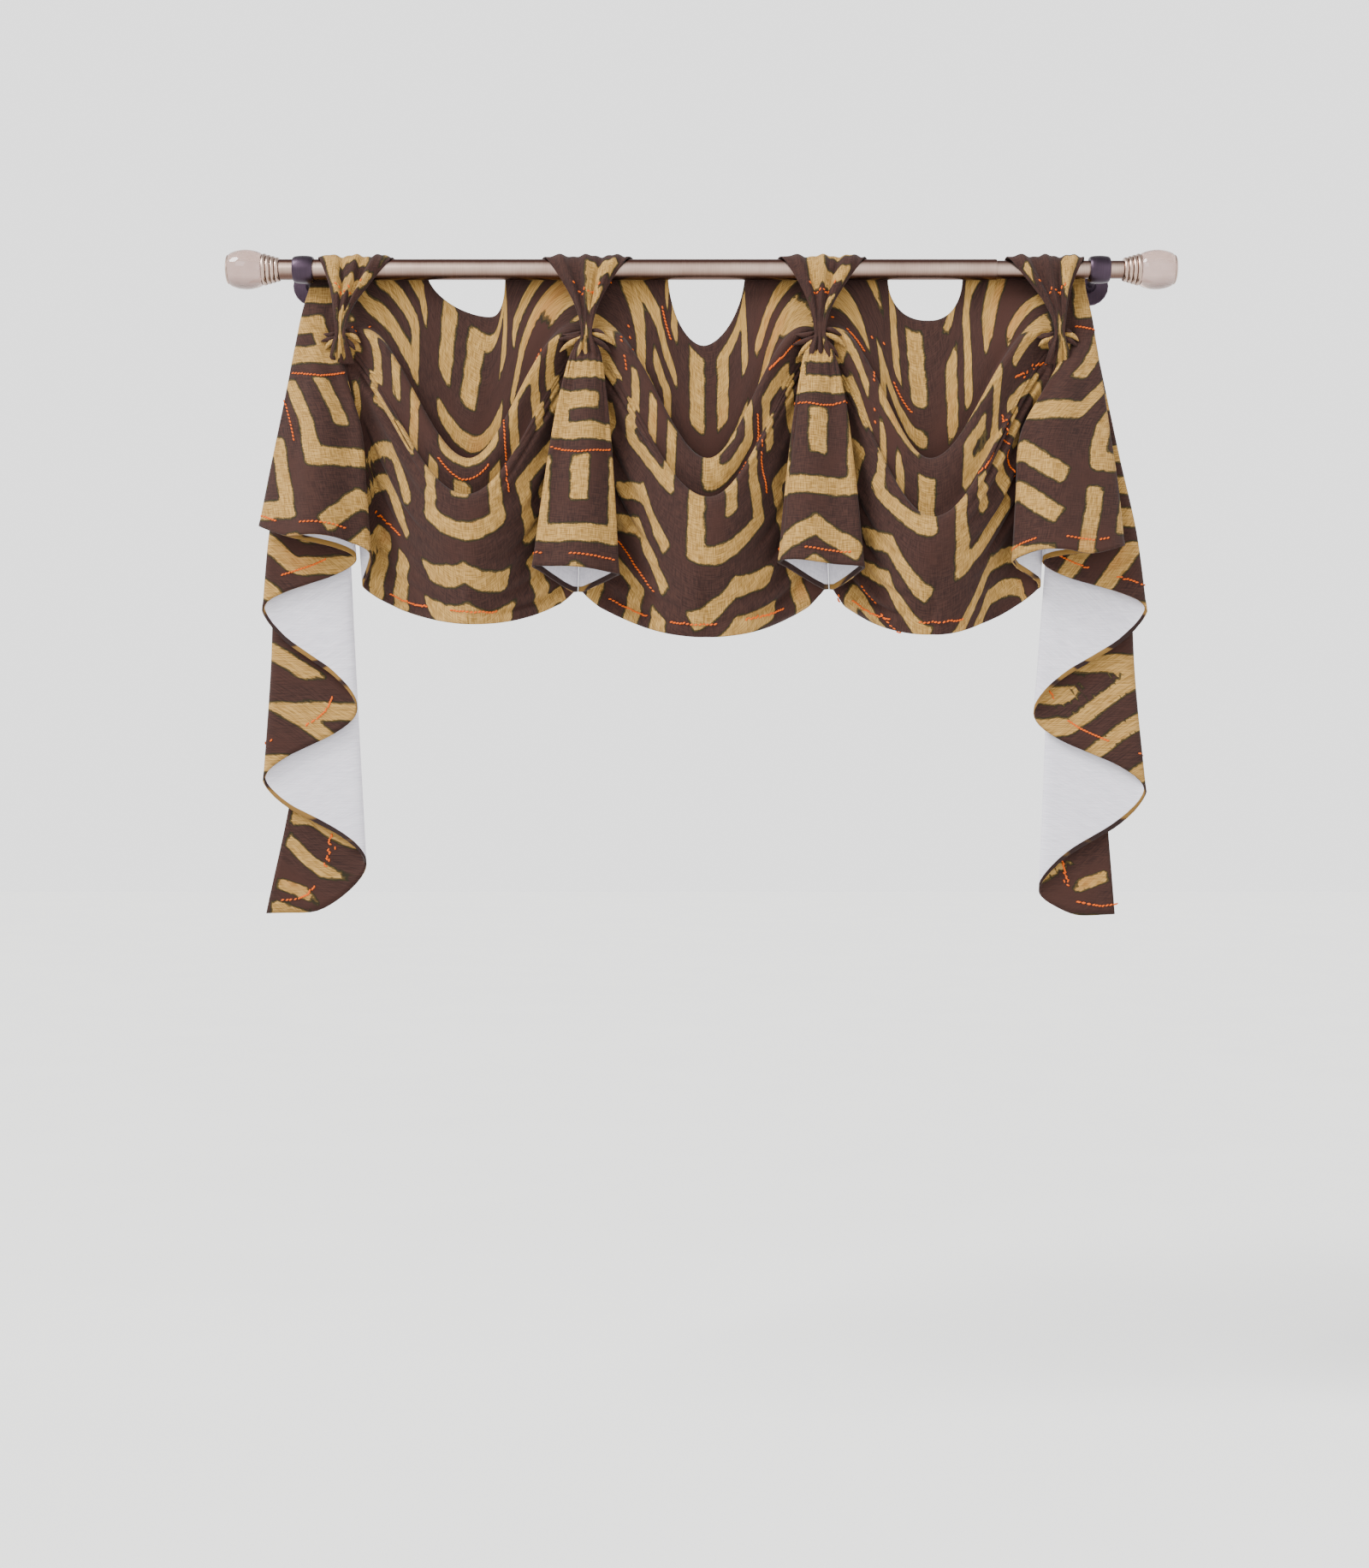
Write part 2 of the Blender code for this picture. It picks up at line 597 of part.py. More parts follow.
def collar_profile(out, bore):
    """The closed section of a barrel-shaped collar."""
    points = []
    for step in range(COLLAR_STEPS + 1):
        share = step / COLLAR_STEPS
        bulge = math.sqrt(max(0.0, 1 - (2 * share - 1) ** 2))
        radius = lerp(COLLAR_D / 2 - COLLAR_BULGE, COLLAR_D / 2, bulge)
        points.append((out * COLLAR_X + (share - 0.5) * COLLAR_WIDTH, radius))
    half = COLLAR_WIDTH / 2
    return [(out * COLLAR_X - half, bore / 2)] + points + [(out * COLLAR_X + half, bore / 2)]


def bracket(hand, out, bore, mats, collection, parent):
    """A collar round the rod, and an arm with a foot and a round plate on the wall."""
    collar = collar_profile(out, bore)
    turned(f"bracket_collar_{hand}", collar, mats["bracket"], collection, parent, closed=True)
    start = COLLAR_D / 2 + FIT
    plate = ROD_FROM_WALL - PLATE_T
    profile = (
        (start, 0.0),
        (start, ARM_D / 2),
        (plate - ARM_FLARE, ARM_D / 2),
        (plate, ARM_FOOT_D / 2),
        (plate, PLATE_D / 2 - PLATE_BEVEL),
        (plate + PLATE_BEVEL, PLATE_D / 2),
        (ROD_FROM_WALL, PLATE_D / 2),
        (ROD_FROM_WALL, 0.0),
    )
    arm = turned(f"bracket_arm_{hand}", profile, mats["bracket"], collection, parent)
    arm.rotation_euler = (math.pi / 2, 0, 0)
    arm.location = (out * ARM_X, 0, 0)


def build():
    """Clears the scene and builds every piece."""
    for obj in list(bpy.data.objects):
        bpy.data.objects.remove(obj, do_unlink=True)
    collection = bpy.data.collections.new("Window swag on a rod")
    bpy.context.scene.collection.children.link(collection)
    rod_line = bpy.data.objects.new("rod_line", None)
    rod_line.location = (0, -ROD_FROM_WALL, 0)
    collection.objects.link(rod_line)
    mats = {
        "face": material("face cloth", (0.075, 0.033, 0.027), 0.9),
        "lining": material("lining", (0.82, 0.80, 0.82), 0.9),
        "tab": material("tab cloth", (0.55, 0.40, 0.20), 0.9),
        "metal": material("rod metal", (0.42, 0.25, 0.19), 0.3, 1.0),
        "bracket": material("bracket metal", (0.08, 0.05, 0.07), 0.4, 1.0),
        "glass": material("crystal", (0.62, 0.50, 0.46), 0.05),
    }
    sheet("face_cloth", mats["face"], collection, rod_line, SHEET_GAP, FACE_T, False)
    sheet("lining", mats["lining"], collection, rod_line, SHEET_GAP, LINING_T, True)
    for number, spec in enumerate(TAB_WIDTHS, 1):
        tab(number, spec, mats["tab"], collection, rod_line)
    outer = tube_profile(-ROD_HALF, TUBE_JOINT_X, OUTER_TUBE_D)
    inner = tube_profile(INNER_TUBE_START_X, ROD_HALF, INNER_TUBE_D)
    turned("rod_outer_tube", outer, mats["metal"], collection, rod_line, closed=True)
    turned("rod_inner_tube", inner, mats["metal"], collection, rod_line, closed=True)
    for hand, out, rod_d in (("left", -1, OUTER_TUBE_D), ("right", 1, INNER_TUBE_D)):
        finial(hand, out, mats, collection, rod_line)
        bracket(hand, out, rod_d + 2 * FIT, mats, collection, rod_line)


build()
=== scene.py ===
"""Window swag on a rod: the cloth, its lining, bands and stitches, and the metal and glass, round the CAD frame."""

import math

import bmesh
import bpy
import numpy as np
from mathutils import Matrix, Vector


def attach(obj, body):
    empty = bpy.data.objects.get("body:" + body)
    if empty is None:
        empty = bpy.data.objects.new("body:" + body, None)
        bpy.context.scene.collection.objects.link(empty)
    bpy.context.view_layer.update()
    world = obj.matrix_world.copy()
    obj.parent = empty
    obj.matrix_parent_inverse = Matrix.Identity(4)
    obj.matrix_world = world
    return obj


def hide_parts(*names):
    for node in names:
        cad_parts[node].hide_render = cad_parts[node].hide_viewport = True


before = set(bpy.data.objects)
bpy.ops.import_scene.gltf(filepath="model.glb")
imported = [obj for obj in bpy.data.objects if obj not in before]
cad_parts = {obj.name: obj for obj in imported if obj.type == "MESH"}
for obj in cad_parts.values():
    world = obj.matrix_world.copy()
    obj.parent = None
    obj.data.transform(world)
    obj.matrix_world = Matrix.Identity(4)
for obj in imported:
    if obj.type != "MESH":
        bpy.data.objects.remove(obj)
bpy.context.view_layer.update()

MM = 0.001
BODY = "root"

# Rod, finials and brackets, as in the part
ROD_Y = -0.090
OUTER_TUBE_D = 0.0254
INNER_TUBE_D = 0.0222
ROD_HALF = 0.5245
TUBE_JOINT_X = 0.367
FIT = 0.0003
COLLAR_X = 0.495
COLLAR_WIDTH = 0.025
COLLAR_D = 0.034
NECK_LENGTH = 0.021
GLASS_LENGTH = 0.0405
GLASS_D = 0.0485
CAP_D = 0.036
CAP_T = 0.0035
ROUND = 72

# Cloth, as in the part: millimetres from the middle of the rod's axis
SHEET_GAP = 0.00015
FACE_T = 0.0012
LINING_T = 0.0010
TAB_T = 0.0016
PINCHES = (
    {"x": -446, "back_x": -416, "back_z": -399},
    {"x": -142, "back_x": -153, "back_z": -402},
    {"x": 146, "back_x": 158, "back_z": -399},
    {"x": 442, "back_x": 416, "back_z": -399},
)
SPLIT = 6
SPLIT_DROP = 9
SPLIT_FADE = 6
SEAM_BEND = 0.7
SLIT = 4
SWAGS = (
    {
        "dip_x": -266, "left": 78, "right": 21, "scoop": -56,
        "rim1": -241, "rim2": -289, "hem": -445, "low": 0.526, "left_power": 1.7, "right_power": 2.8,
    },
    {
        "dip_x": 3, "left": 46, "right": 53, "scoop": -92,
        "rim1": -241, "rim2": -292, "hem": -461, "low": 0.52, "left_power": 1.8, "right_power": 1.7,
    },
    {
        "dip_x": 284, "left": 52, "right": 44, "scoop": -61,
        "rim1": -241, "rim2": -316, "hem": -458, "low": 0.455, "left_power": 2.2, "right_power": 2.2,
    },
)
SCOOP_TOP_Y = 18
SCOOP_FORWARD = 5
SWAG_ROWS = (
    {"level": "rim1", "drop": -17, "y": -8, "side_z": -62, "side_y": 3, "bell": 2.8, "reach": 1.0},
    {"level": "rim1", "drop": -21, "y": -18, "side_z": -66, "side_y": 2, "bell": 2.8, "reach": 1.0},
    {"level": "rim1", "drop": -9, "y": -27, "side_z": -69.5, "side_y": 1, "bell": 2.8, "reach": 1.0},
    {"level": "rim1", "drop": 0, "y": -34, "side_z": -73, "side_y": 0, "bell": 2.8, "reach": 1.0},
    {"level": "rim1", "drop": -7, "y": -40, "side_z": -76.5, "side_y": -1, "bell": 2.7, "reach": 1.0},
    {"level": "rim1", "drop": -28, "y": -42, "side_z": -79.5, "side_y": -2, "bell": 2.3, "reach": 1.2},
    {"level": "rim2", "drop": -4, "y": -39, "side_z": -82.5, "side_y": -3, "bell": 1.85, "reach": 1.4},
    {"level": "rim2", "drop": -10, "y": -50, "side_z": -86, "side_y": -3, "bell": 1.65, "reach": 1.6},
    {"level": "rim2", "drop": 0, "y": -60, "side_z": -93, "side_y": -3, "bell": 1.6, "reach": 1.7},
    {"level": "rim2", "drop": -4, "y": -67, "side_z": -98, "side_y": -3, "bell": 1.6, "reach": 1.8},
    {"level": "rim2", "drop": -24, "y": -70, "side_z": -118, "side_y": -4, "bell": 1.5, "reach": 1.9},
    {"level": "hem", "drop": 98, "y": -69, "side_z": -160, "side_y": -5, "bell": 1.4, "reach": 2.0},
    {"level": "hem", "drop": 62, "y": -62, "side_z": -225, "side_y": -6, "bell": 1.2, "reach": 2.0},
    {"level": "hem", "drop": 28, "y": -54, "side_z": -310, "side_y": -7, "bell": 1.0, "reach": 2.0},
    {"level": "hem", "drop": 0, "y": -50, "side_z": -400, "side_y": -8, "bell": 0.85, "reach": 2.0},
)
TOP_SHARES = (0.0, 0.25, 0.55, 0.8)
TRUMPET_ROW = 9
SETBACK = 7
SETBACK_ROW = 4
SETBACK_ROWS = 4
LATE = 3.0
SCOOP_COLUMNS = 6
SIDE_COLUMNS = 3
COLUMNS = SCOOP_COLUMNS + 2 * SIDE_COLUMNS
TRUMPETS = (
    {"pinch": 1, "mid_x": -153, "half": 50.5, "front_y": -75, "front_z": -378, "tilt": -4.5},
    {"pinch": 2, "mid_x": 137, "half": 51, "front_y": -75, "front_z": -371, "tilt": -4},
)
TRUMPET_RIM = {"half": 10, "front_y": -18, "front_z": -92}
TRUMPET_COLUMNS = 8
TRUMPET_TURN = 0.68
TUCK_DEPTH = 8
APEX_DEPTH = 0.55
APEX_REACH = 0.24  # a narrower slit than the part's
FLAP_REACH = 1.1
FLARE = 0.6
SWELL = 0.8
CASCADES = (
    {
        "pinch": 0, "out": -1, "top_x": -488, "slope": 0.145, "fold_x": -532, "edge_x": -506, "sag": 28,
        "corner": {"inward": 10, "drop": 357},
        "lines": ((-546, 320), (-424, 362), (-545, 423), (-426, 548), (-548, 636), (-417, 740), (-545, 802)),
    },
    {
        "pinch": 3, "out": 1, "top_x": 478, "slope": 0.184, "fold_x": 533.8, "edge_x": 504, "sag": 16,
        "corner": {"inward": 35, "drop": 368},
        "lines": ((519, 345), (419, 365), (554, 424), (410, 554), (557, 649), (421, 773), (518, 803)),
    },
)
CASCADE_ROWS = (0.0, 0.06, 0.12, 0.18, 0.246, 0.296, 0.40, 0.564, 0.777, 1.0)
CASCADE_FRONT_Y = (22, 15, 6, -1, -5, -9, -15, -22, -30, -36)
SHARED_ROWS = 6
LAYERS = 7
LAYER_PITCH = 7
HEM_PITCH = 9
TIP = 0.09  # rounder tips than the part's
FOLD_DEPTH = 0.43
SILHOUETTE_START = 17
SILHOUETTE_END = 320
INNER_TOP_OFFSET = 9
FRONT_SWELL = 28
CORNER_WIDTH = 14
CORNER_FORWARD = 34
CORNER_BEND = 0.6
CORNER_OPENING = 0.35
FRONT_SHARES = (0.2, 0.45, 0.7)
INNER_SHARES = (0.25, 0.5, 0.75)
HEM_CURVE = 0.5
HEM_SWAY = 7
TIP_OUT = 3
EDGE_SHARE = 0.8
SWELL_BEND = 1.2
INNER_BEND = 1.3
OUTER_BEND = 4
EDGE_BEND = 9
SEAM_APEX = {"above": 5, "below": 3, "share": 0.1}
SEAM_FLAP = {"above": 9, "below": -0.5, "share": 0.3}
TUCK_OPENING = 0.12
TAB_WIDTHS = (
    {"pinch": 0, "top": 94, "back": 98, "mid_x": -430},
    {"pinch": 1, "top": 106, "back": 122, "mid_x": -142},
    {"pinch": 2, "top": 106, "back": 118, "mid_x": 151},
    {"pinch": 3, "top": 98, "back": 100, "mid_x": 428},
)
TAB_PLEATS = 3
TAB_ROUND_ROWS = (
    (195, 1.0, 0.0),
    (165, 1.0, 0.0),
    (135, 1.0, 1.0),
    (105, 0.99, 2.0),
    (75, 0.97, 2.5),
    (45, 0.92, 3.0),
    (15, 0.84, 4.0),
)
TAB_FALL_ROWS = ((-22, 0.53, 5.0), (-43, 0.32, 3.0), (-64, 0.18, 0.9), (-84, 0.13, 0.4))
TAB_LEAN = 0.10
TAB_END_ROWS = ((-93, 0.17, 2.2), (-104, 0.25, 3.4), (-120, 0.34, 0.2))
TAB_END_Y = {0: -13, 1: -22, 2: -22, 3: -13}
TAB_PLEAT_DEPTH = 1.35
TAB_FINE_PLEAT = 0.4
TAB_CLEAR = 0.0009
TAB_BACK_START = 60
TAB_BACK_SWEEP = 100
TAB_SHIFT_DROP = 90

# How finely each cell between two rows is cut: above the folds, the folds, and what the trumpets share
TOP_CUTS = (7, 7, 6, 5)
FOLD_CUTS = (3,) * TRUMPET_ROW
SHARED_CUTS = (5, 10, 15, 17, 17)
CASCADE_TOP_CUTS = (7, 7, 7, 7)
COLUMN_CUTS = 5


# Tabs' fine cuts
TAB_FINE_COLUMNS = 48
TAB_ROW_CUTS = 6

# The cloth's meander bands: a small traditional repeat charted in centimetres. Its cells stand in
# columns, each cell shows one motif by the middle lines of its bands, and every second column is mirrored.
CELL = (15, 13)
MOTIFS = (
    (((-5, -4), (5, -4), (5, 4), (-3, 4), (-3, 0), (1, 0)),),
    (((-5, -5), (-5, 4), (5, 4), (5, -5)), ((0, -5), (0, -1))),
    (((-5, -1), (0, -4), (5, -1)), ((-5, 4), (0, 1), (5, 4))),
    (((-5, -4), (-5, 4)), ((-1, 4), (-1, -4), (5, -4), (5, 3))),
)
MOTIF_STEP = 3  # how far the order of the motifs moves on from one column to the next
BAND_HALF = 12
CM = 10  # millimetres in a centimetre
SEAM_CLEAR = 5
FAR_OUT = -20.0
CORNER_ROUND = 4
END_REACH = 0.85

# Where the repeat starts in each zone, in millimetres across and down, chosen freely
PATTERN_STARTS = {
    "tail_left": (60, 70), "swag_1": (0, 0), "trumpet_1": (0, 80), "swag_2": (40, 30), "trumpet_2": (0, 20),
    "swag_3": (80, 60), "tail_right": (60, 10), "tab_1": (0, 40), "tab_2": (40, 60), "tab_3": (20, 30),
    "tab_4": (60, 50),
}

# Orange stitch lines, charted in the same cells in turn, a dashed row along the hems, and a tab's in millimetres
CELL_STITCHES = (((-4, 6.2), (0, 6.8), (4, 6.2)), ((7.4, -4), (7.4, 2)), ())
HEM_INSET = 16
HEM_DASH = 60
HEM_GAP = 35
TAB_STITCH = ((-24, 80), (0, 88), (24, 80))
CLOTH_REACH = 6
BEAD_PITCH = 4.6
BEAD_SPREAD = 2.6  # no bead where the cloth's stretch would set its two neighbours further apart than this
BEAD = (2.3, 1.15, 0.95)  # a bead's half length, half width and half height
BEAD_RINGS = 3
BEAD_SIDES = 6
BEAD_SLANT = 0.35

# Creases: heights in millimetres
PINCH_CREASE = 4.2
HEM_WAVE = 3.0
FLUTE = 4.2
GATHER = 1.1
PINCH_FOLDS = (
    (-82, 26, False), (-64, 34, False), (-42, 38, True), (-24, 30, False), (18, 32, False), (38, 36, False),
    (60, 34, True), (80, 24, False),
)
PINCH_FOLD = (3.6, 4.4)
PINCH_START = 4
PINCH_Z = -80
PINCH_RINGS = 8
PINCH_SIDES = 10
HEM_ROLL_WIDTH = 9
HEM_ROLL = 0.0005
TURN_OVER = 7.5

# Colours as they look on screen
def linear(r, g, b):
    """A colour given as it looks on screen, from 0 to 255, as linear light."""
    return tuple((c / 255 / 12.92) if c / 255 <= 0.04045 else ((c / 255 + 0.055) / 1.055) ** 2.4 for c in (r, g, b))


BROWN_DARK = linear(34, 18, 15)
BROWN_LIGHT = linear(53, 32, 26)
BROWN_WARM = linear(50, 28, 22)
TAN_DARK = linear(114, 84, 38)
TAN_LIGHT = linear(160, 126, 70)
RUST = linear(140, 80, 36)
OLIVE = linear(28, 26, 10)
LINING_DARK = linear(186, 183, 192)
LINING_LIGHT = linear(208, 205, 212)
LINING_SHADE = linear(172, 168, 182)
ORANGE_DARK = linear(160, 58, 0)
ORANGE_LIGHT = linear(216, 96, 0)
METAL_DARK = linear(120, 94, 82)
# Painted shade for the rod: dark red-brown along its top, dark brown along its underside
METAL_TOP_SHADE = linear(70, 26, 14)
METAL_UNDER_SHADE = linear(64, 38, 30)
METAL_LIGHT = linear(206, 182, 168)
BRACKET_DARK = linear(44, 34, 42)
BRACKET_LIGHT = linear(74, 62, 74)
GLASS_DARK = linear(164, 128, 118)
GLASS_LIGHT = linear(206, 180, 170)
FLOOR_DARK = linear(238, 238, 236)
FLOOR_LIGHT = linear(244, 244, 242)

# Stage: the floor, area lights with place, size and power, and the camera at the photo's angle
FLOOR_Z = -1.50
WORLD_STRENGTH = 2.1
SKY_LOW = 0.42
SKY_HIGH = 0.85
SKY_GREY = 0.35
SUN_POWER = 5.4
SUN_ANGLE = 0.45
SUN_TURN = (0.80, 0.0, -0.95)
LIGHT_TARGET = (0.0, -0.1, -0.35)
LIGHTS = (
    ("key", (-1.6, -3.0, 1.2), (1.6, 1.6), 30),
    ("fill", (2.2, -2.6, 0.2), (2.0, 2.0), 14),
)
SENSOR = 36
CAMERA_DISTANCE = 2.6
VIEW_HEIGHT = 1.951
CAMERA_X = -0.021
CAMERA_Z = -0.640


def lerp(a, b, t):
    """The value a share t of the way from a to b."""
    return a + (b - a) * t


def smooth(t):
    """A soft step from 0 to 1 for t from 0 to 1."""
    t = min(max(t, 0.0), 1.0)
    return t * t * (3 - 2 * t)


def trumpet_share(row):
    """How far down its trumpet a fold row's side lies, from 0 at the pinch to 1 at the hem."""
    top = SWAG_ROWS[TRUMPET_ROW]["side_z"]
    hem = SWAG_ROWS[-1]["side_z"]
    return max(0.0, (SWAG_ROWS[row]["side_z"] - top) / (hem - top))


def side_point(pinch, row, hand):
    """The end of a fold row at a pinch: left (-1), right (1) or midway (0) in the slit below it."""
    spec = PINCHES[pinch]
    share = trumpet_share(row)
    inner = pinch in (1, 2)
    shape = share if inner else share**SEAM_BEND
    x = lerp(spec["x"], spec["back_x"], shape)
    if inner and row >= TRUMPET_ROW:
        x += hand * SPLIT
    if not inner and row < TRUMPET_ROW:
        x += hand * SLIT / 2
    z = SWAG_ROWS[row]["side_z"] + (spec["back_z"] - SWAG_ROWS[-1]["side_z"]) * share
    if inner and hand and row >= TRUMPET_ROW:
        z -= SPLIT_DROP * (1 - share) ** SPLIT_FADE
    return Vector((x, SWAG_ROWS[row]["side_y"], z))


def fold_point(index, row, u):
    """A point of a swag's fold row, with u from 0 at its left pinch to 1 at its right."""
    swag = SWAGS[index]
    spec = SWAG_ROWS[row]
    side = side_point(index, row, 0).lerp(side_point(index + 1, row, 0), u)
    nearest = 0 if u < 0.5 else 1
    split = side_point(index + nearest, row, 1 - 2 * nearest) - side_point(index + nearest, row, 0)
    inside = min(1.0, COLUMNS * min(u, 1 - u))
    t = u / swag["low"] if u < swag["low"] else (1 - u) / (1 - swag["low"])
    rise = math.sin(math.pi / 2 * t)
    z = lerp(side.z, swag[spec["level"]], rise ** spec["bell"]) + spec["drop"] * rise**LATE
    start = side.y + SETBACK * smooth((row - SETBACK_ROW) / SETBACK_ROWS) * inside
    y = lerp(start, spec["y"], rise ** spec["reach"])
    return Vector((side.x, y, z)) + split * (1 - inside)


def scoop_point(index, column):
    """A point of the top edge: level behind the rod, and dipping in a rounded scoop between the tabs."""
    swag = SWAGS[index]
    if column < SIDE_COLUMNS:
        edge = swag["dip_x"] - swag["left"]
        return Vector((lerp(PINCHES[index]["x"], edge, column / SIDE_COLUMNS), SCOOP_TOP_Y, 0))
    if column > SIDE_COLUMNS + SCOOP_COLUMNS:
        edge = swag["dip_x"] + swag["right"]
        share = (column - SIDE_COLUMNS - SCOOP_COLUMNS) / SIDE_COLUMNS
        return Vector((lerp(edge, PINCHES[index + 1]["x"], share), SCOOP_TOP_Y, 0))
    turn = math.pi * (column - SIDE_COLUMNS) / SCOOP_COLUMNS
    side = "left" if math.cos(turn) > 0 else "right"
    bend = 2 / swag[side + "_power"]
    x = swag["dip_x"] - math.copysign(abs(math.cos(turn)) ** bend, math.cos(turn)) * swag[side]
    dip = abs(math.sin(turn)) ** bend
    return Vector((x, SCOOP_TOP_Y - SCOOP_FORWARD * dip, swag["scoop"] * dip))


def trumpet_rows(spec):
    """The part's rows of points round an inner trumpet, from its centre back by the left and the front."""
    rows = []
    for row in range(TRUMPET_ROW, len(SWAG_ROWS)):
        share = trumpet_share(row)
        left = side_point(spec["pinch"], row, -1)
        right = side_point(spec["pinch"], row, 1)
        back = left.lerp(right, 0.5)
        half = lerp(TRUMPET_RIM["half"], spec["half"], share**FLARE)
        front_y = lerp(TRUMPET_RIM["front_y"], spec["front_y"], share**SWELL)
        front_z = lerp(TRUMPET_RIM["front_z"], spec["front_z"], share)
        mid_x = lerp(PINCHES[spec["pinch"]]["x"], spec["mid_x"], share)
        points = []
        for c in range(TRUMPET_COLUMNS + 1):
            turn = math.pi * TRUMPET_TURN * (2 * c / TRUMPET_COLUMNS - 1)
            front = math.sqrt((1 + math.cos(turn)) / 2)
            x = lerp(back.x, mid_x, front) + half * math.sin(turn)
            y = lerp(back.y - TUCK_DEPTH, front_y, front)
            z = lerp(back.z, front_z, 1 - (1 - front) ** 2) + spec["tilt"] * share * math.sin(turn)
            points.append(Vector((x, y, z)))
        for hand, end in ((-1, left), (1, right)):
            apex = back + Vector((hand * SPLIT * APEX_REACH, -TUCK_DEPTH * APEX_DEPTH, 0))
            flap = back + Vector((hand * SPLIT * FLAP_REACH, -TUCK_DEPTH, 0))
            points = [end, apex, flap] + points if hand < 0 else points + [flap, apex, end]
        rows.append(points)
    return rows


def cascade_seam(spec, row):
    """Where a cascade joins the swag beside it, or the edge of the slit above that."""
    first_shared = len(CASCADE_ROWS) - SHARED_ROWS
    if row >= first_shared:
        return side_point(spec["pinch"], TRUMPET_ROW + row - first_shared, -spec["out"])
    x = PINCHES[spec["pinch"]]["x"] + SLIT * spec["out"]
    return Vector((x, CASCADE_FRONT_Y[row], -spec["corner"]["drop"] * CASCADE_ROWS[row]))


def cascade_corner(spec, row):
    """The front corner of an outer trumpet, which folds over the swag below the pinch."""
    share = CASCADE_ROWS[row]
    pinch_share = CASCADE_ROWS[-SHARED_ROWS]
    seam = cascade_seam(spec, row)
    over = smooth((share - pinch_share) / CORNER_OPENING)
    inward = lerp(-CORNER_WIDTH, spec["corner"]["inward"], over)
    open_share = max(0.0, (share - pinch_share) / (1 - pinch_share))
    forward = CORNER_FORWARD * open_share**CORNER_BEND
    return Vector((seam.x - spec["out"] * inward, seam.y - forward, -spec["corner"]["drop"] * share))


def cascade_line(spec, number, share):
    """The x and z of a cascade's fold line at a share of its drop, number 1 at the first outer fold."""
    hem_x, drop = spec["lines"][number - 1]
    pinch_x = PINCHES[spec["pinch"]]["x"]
    fall = min(max(drop * share - SILHOUETTE_START, 0), SILHOUETTE_END - SILHOUETTE_START)
    if number == 1:
        reach = min(drop, SILHOUETTE_END) - SILHOUETTE_START
        return lerp(spec["top_x"], hem_x, fall / reach), -drop * share
    if number == LAYERS:
        fall = min(fall, abs(spec["edge_x"] - spec["top_x"]) / spec["slope"])
    if number % 2:
        free = spec["top_x"] + spec["out"] * spec["slope"] * fall
        hem_free = spec["edge_x"] if number == LAYERS else spec["fold_x"]
        bend = EDGE_BEND if number == LAYERS else OUTER_BEND
        return free + (hem_x - hem_free) * share**bend, -drop * share
    start = pinch_x + spec["out"] * INNER_TOP_OFFSET
    return lerp(start, hem_x, share**INNER_BEND), -drop * share


def cascade_columns():
    """Columns from the corner line to the free edge: line number, share to the next line, depth in layers."""
    columns = [(0, 0.0, 0.0)]
    for layer in range(LAYERS):
        inner = FRONT_SHARES if layer == 0 else INNER_SHARES
        columns += [(layer, share, float(layer)) for share in inner]
        if layer < LAYERS - 1:
            columns.append((layer, 1.0 - TIP, layer + 0.5 - FOLD_DEPTH))
            columns.append((layer, 1.0, layer + 0.5))
            columns.append((layer + 1, TIP, layer + 0.5 + FOLD_DEPTH))
    columns.append((LAYERS - 1, EDGE_SHARE, float(LAYERS - 1)))
    columns.append((LAYERS - 1, 1.0, float(LAYERS - 1)))
    return columns


def cascade_point(spec, column, row):
    """A point of a cascade's pleated layers."""
    line, share, depth = column
    fall = CASCADE_ROWS[row]
    front_y = CASCADE_FRONT_Y[row]
    pitch = lerp(LAYER_PITCH, HEM_PITCH, fall**2)
    x1, z1 = cascade_line(spec, line + 1, fall)
    if line == 0:
        point = cascade_corner(spec, row).lerp(Vector((x1, front_y, z1)), share)
        point.y += pitch * depth - FRONT_SWELL * fall**SWELL_BEND * math.sin(math.pi * share)
        point.z += HEM_SWAY * fall**6 * math.sin(math.tau * share)
        return point
    x0, z0 = cascade_line(spec, line, fall)
    z = lerp(z0, z1, share + HEM_CURVE * fall * math.sin(math.tau * share) / math.tau)
    if line == LAYERS - 1:
        z -= spec["sag"] * fall * math.sin(math.pi * share)
    return Vector((lerp(x0, x1, share), front_y + pitch * depth, z))


def cascade_rows(spec):
    """The part's rows of points of a cascade, from its seam beside the swag out to its free edge."""
    rows = []
    for row in range(len(CASCADE_ROWS)):
        seam = cascade_seam(spec, row)
        corner = cascade_corner(spec, row)
        opened = smooth((CASCADE_ROWS[row] - CASCADE_ROWS[-SHARED_ROWS]) / TUCK_OPENING)
        apex = seam.lerp(corner, SEAM_APEX["share"])
        apex.x = seam.x + spec["out"] * lerp(SEAM_APEX["above"], SEAM_APEX["below"], opened)
        apex.y = seam.y - TUCK_DEPTH * APEX_DEPTH * opened
        flap = seam.lerp(corner, SEAM_FLAP["share"])
        flap.x = seam.x + spec["out"] * lerp(SEAM_FLAP["above"], SEAM_FLAP["below"], opened)
        flap.y = seam.y - TUCK_DEPTH * opened
        points = [cascade_point(spec, column, row) for column in cascade_columns()]
        rows.append([seam, apex, flap] + round_tips(spec, points))
    return rows


def round_tips(spec, points):
    """Pulls each fold's turn in from its corner, so that the hem runs round it."""
    columns = cascade_columns()
    rounded_points = list(points)
    for c, (_, share, _) in enumerate(columns[:-1]):
        if share == 1.0:
            middle = points[c].lerp((points[c - 1] + points[c + 1]) / 2, 0.5)
            out = math.copysign(TIP_OUT, points[c].x - points[c - 1].x)
            rounded_points[c] = Vector((middle.x + out, points[c].y, middle.z))
            rounded_points[c - 1] = points[c - 1] + Vector((out, 0, 0))
            rounded_points[c + 1] = points[c + 1] + Vector((out, 0, 0))
    return rounded_points


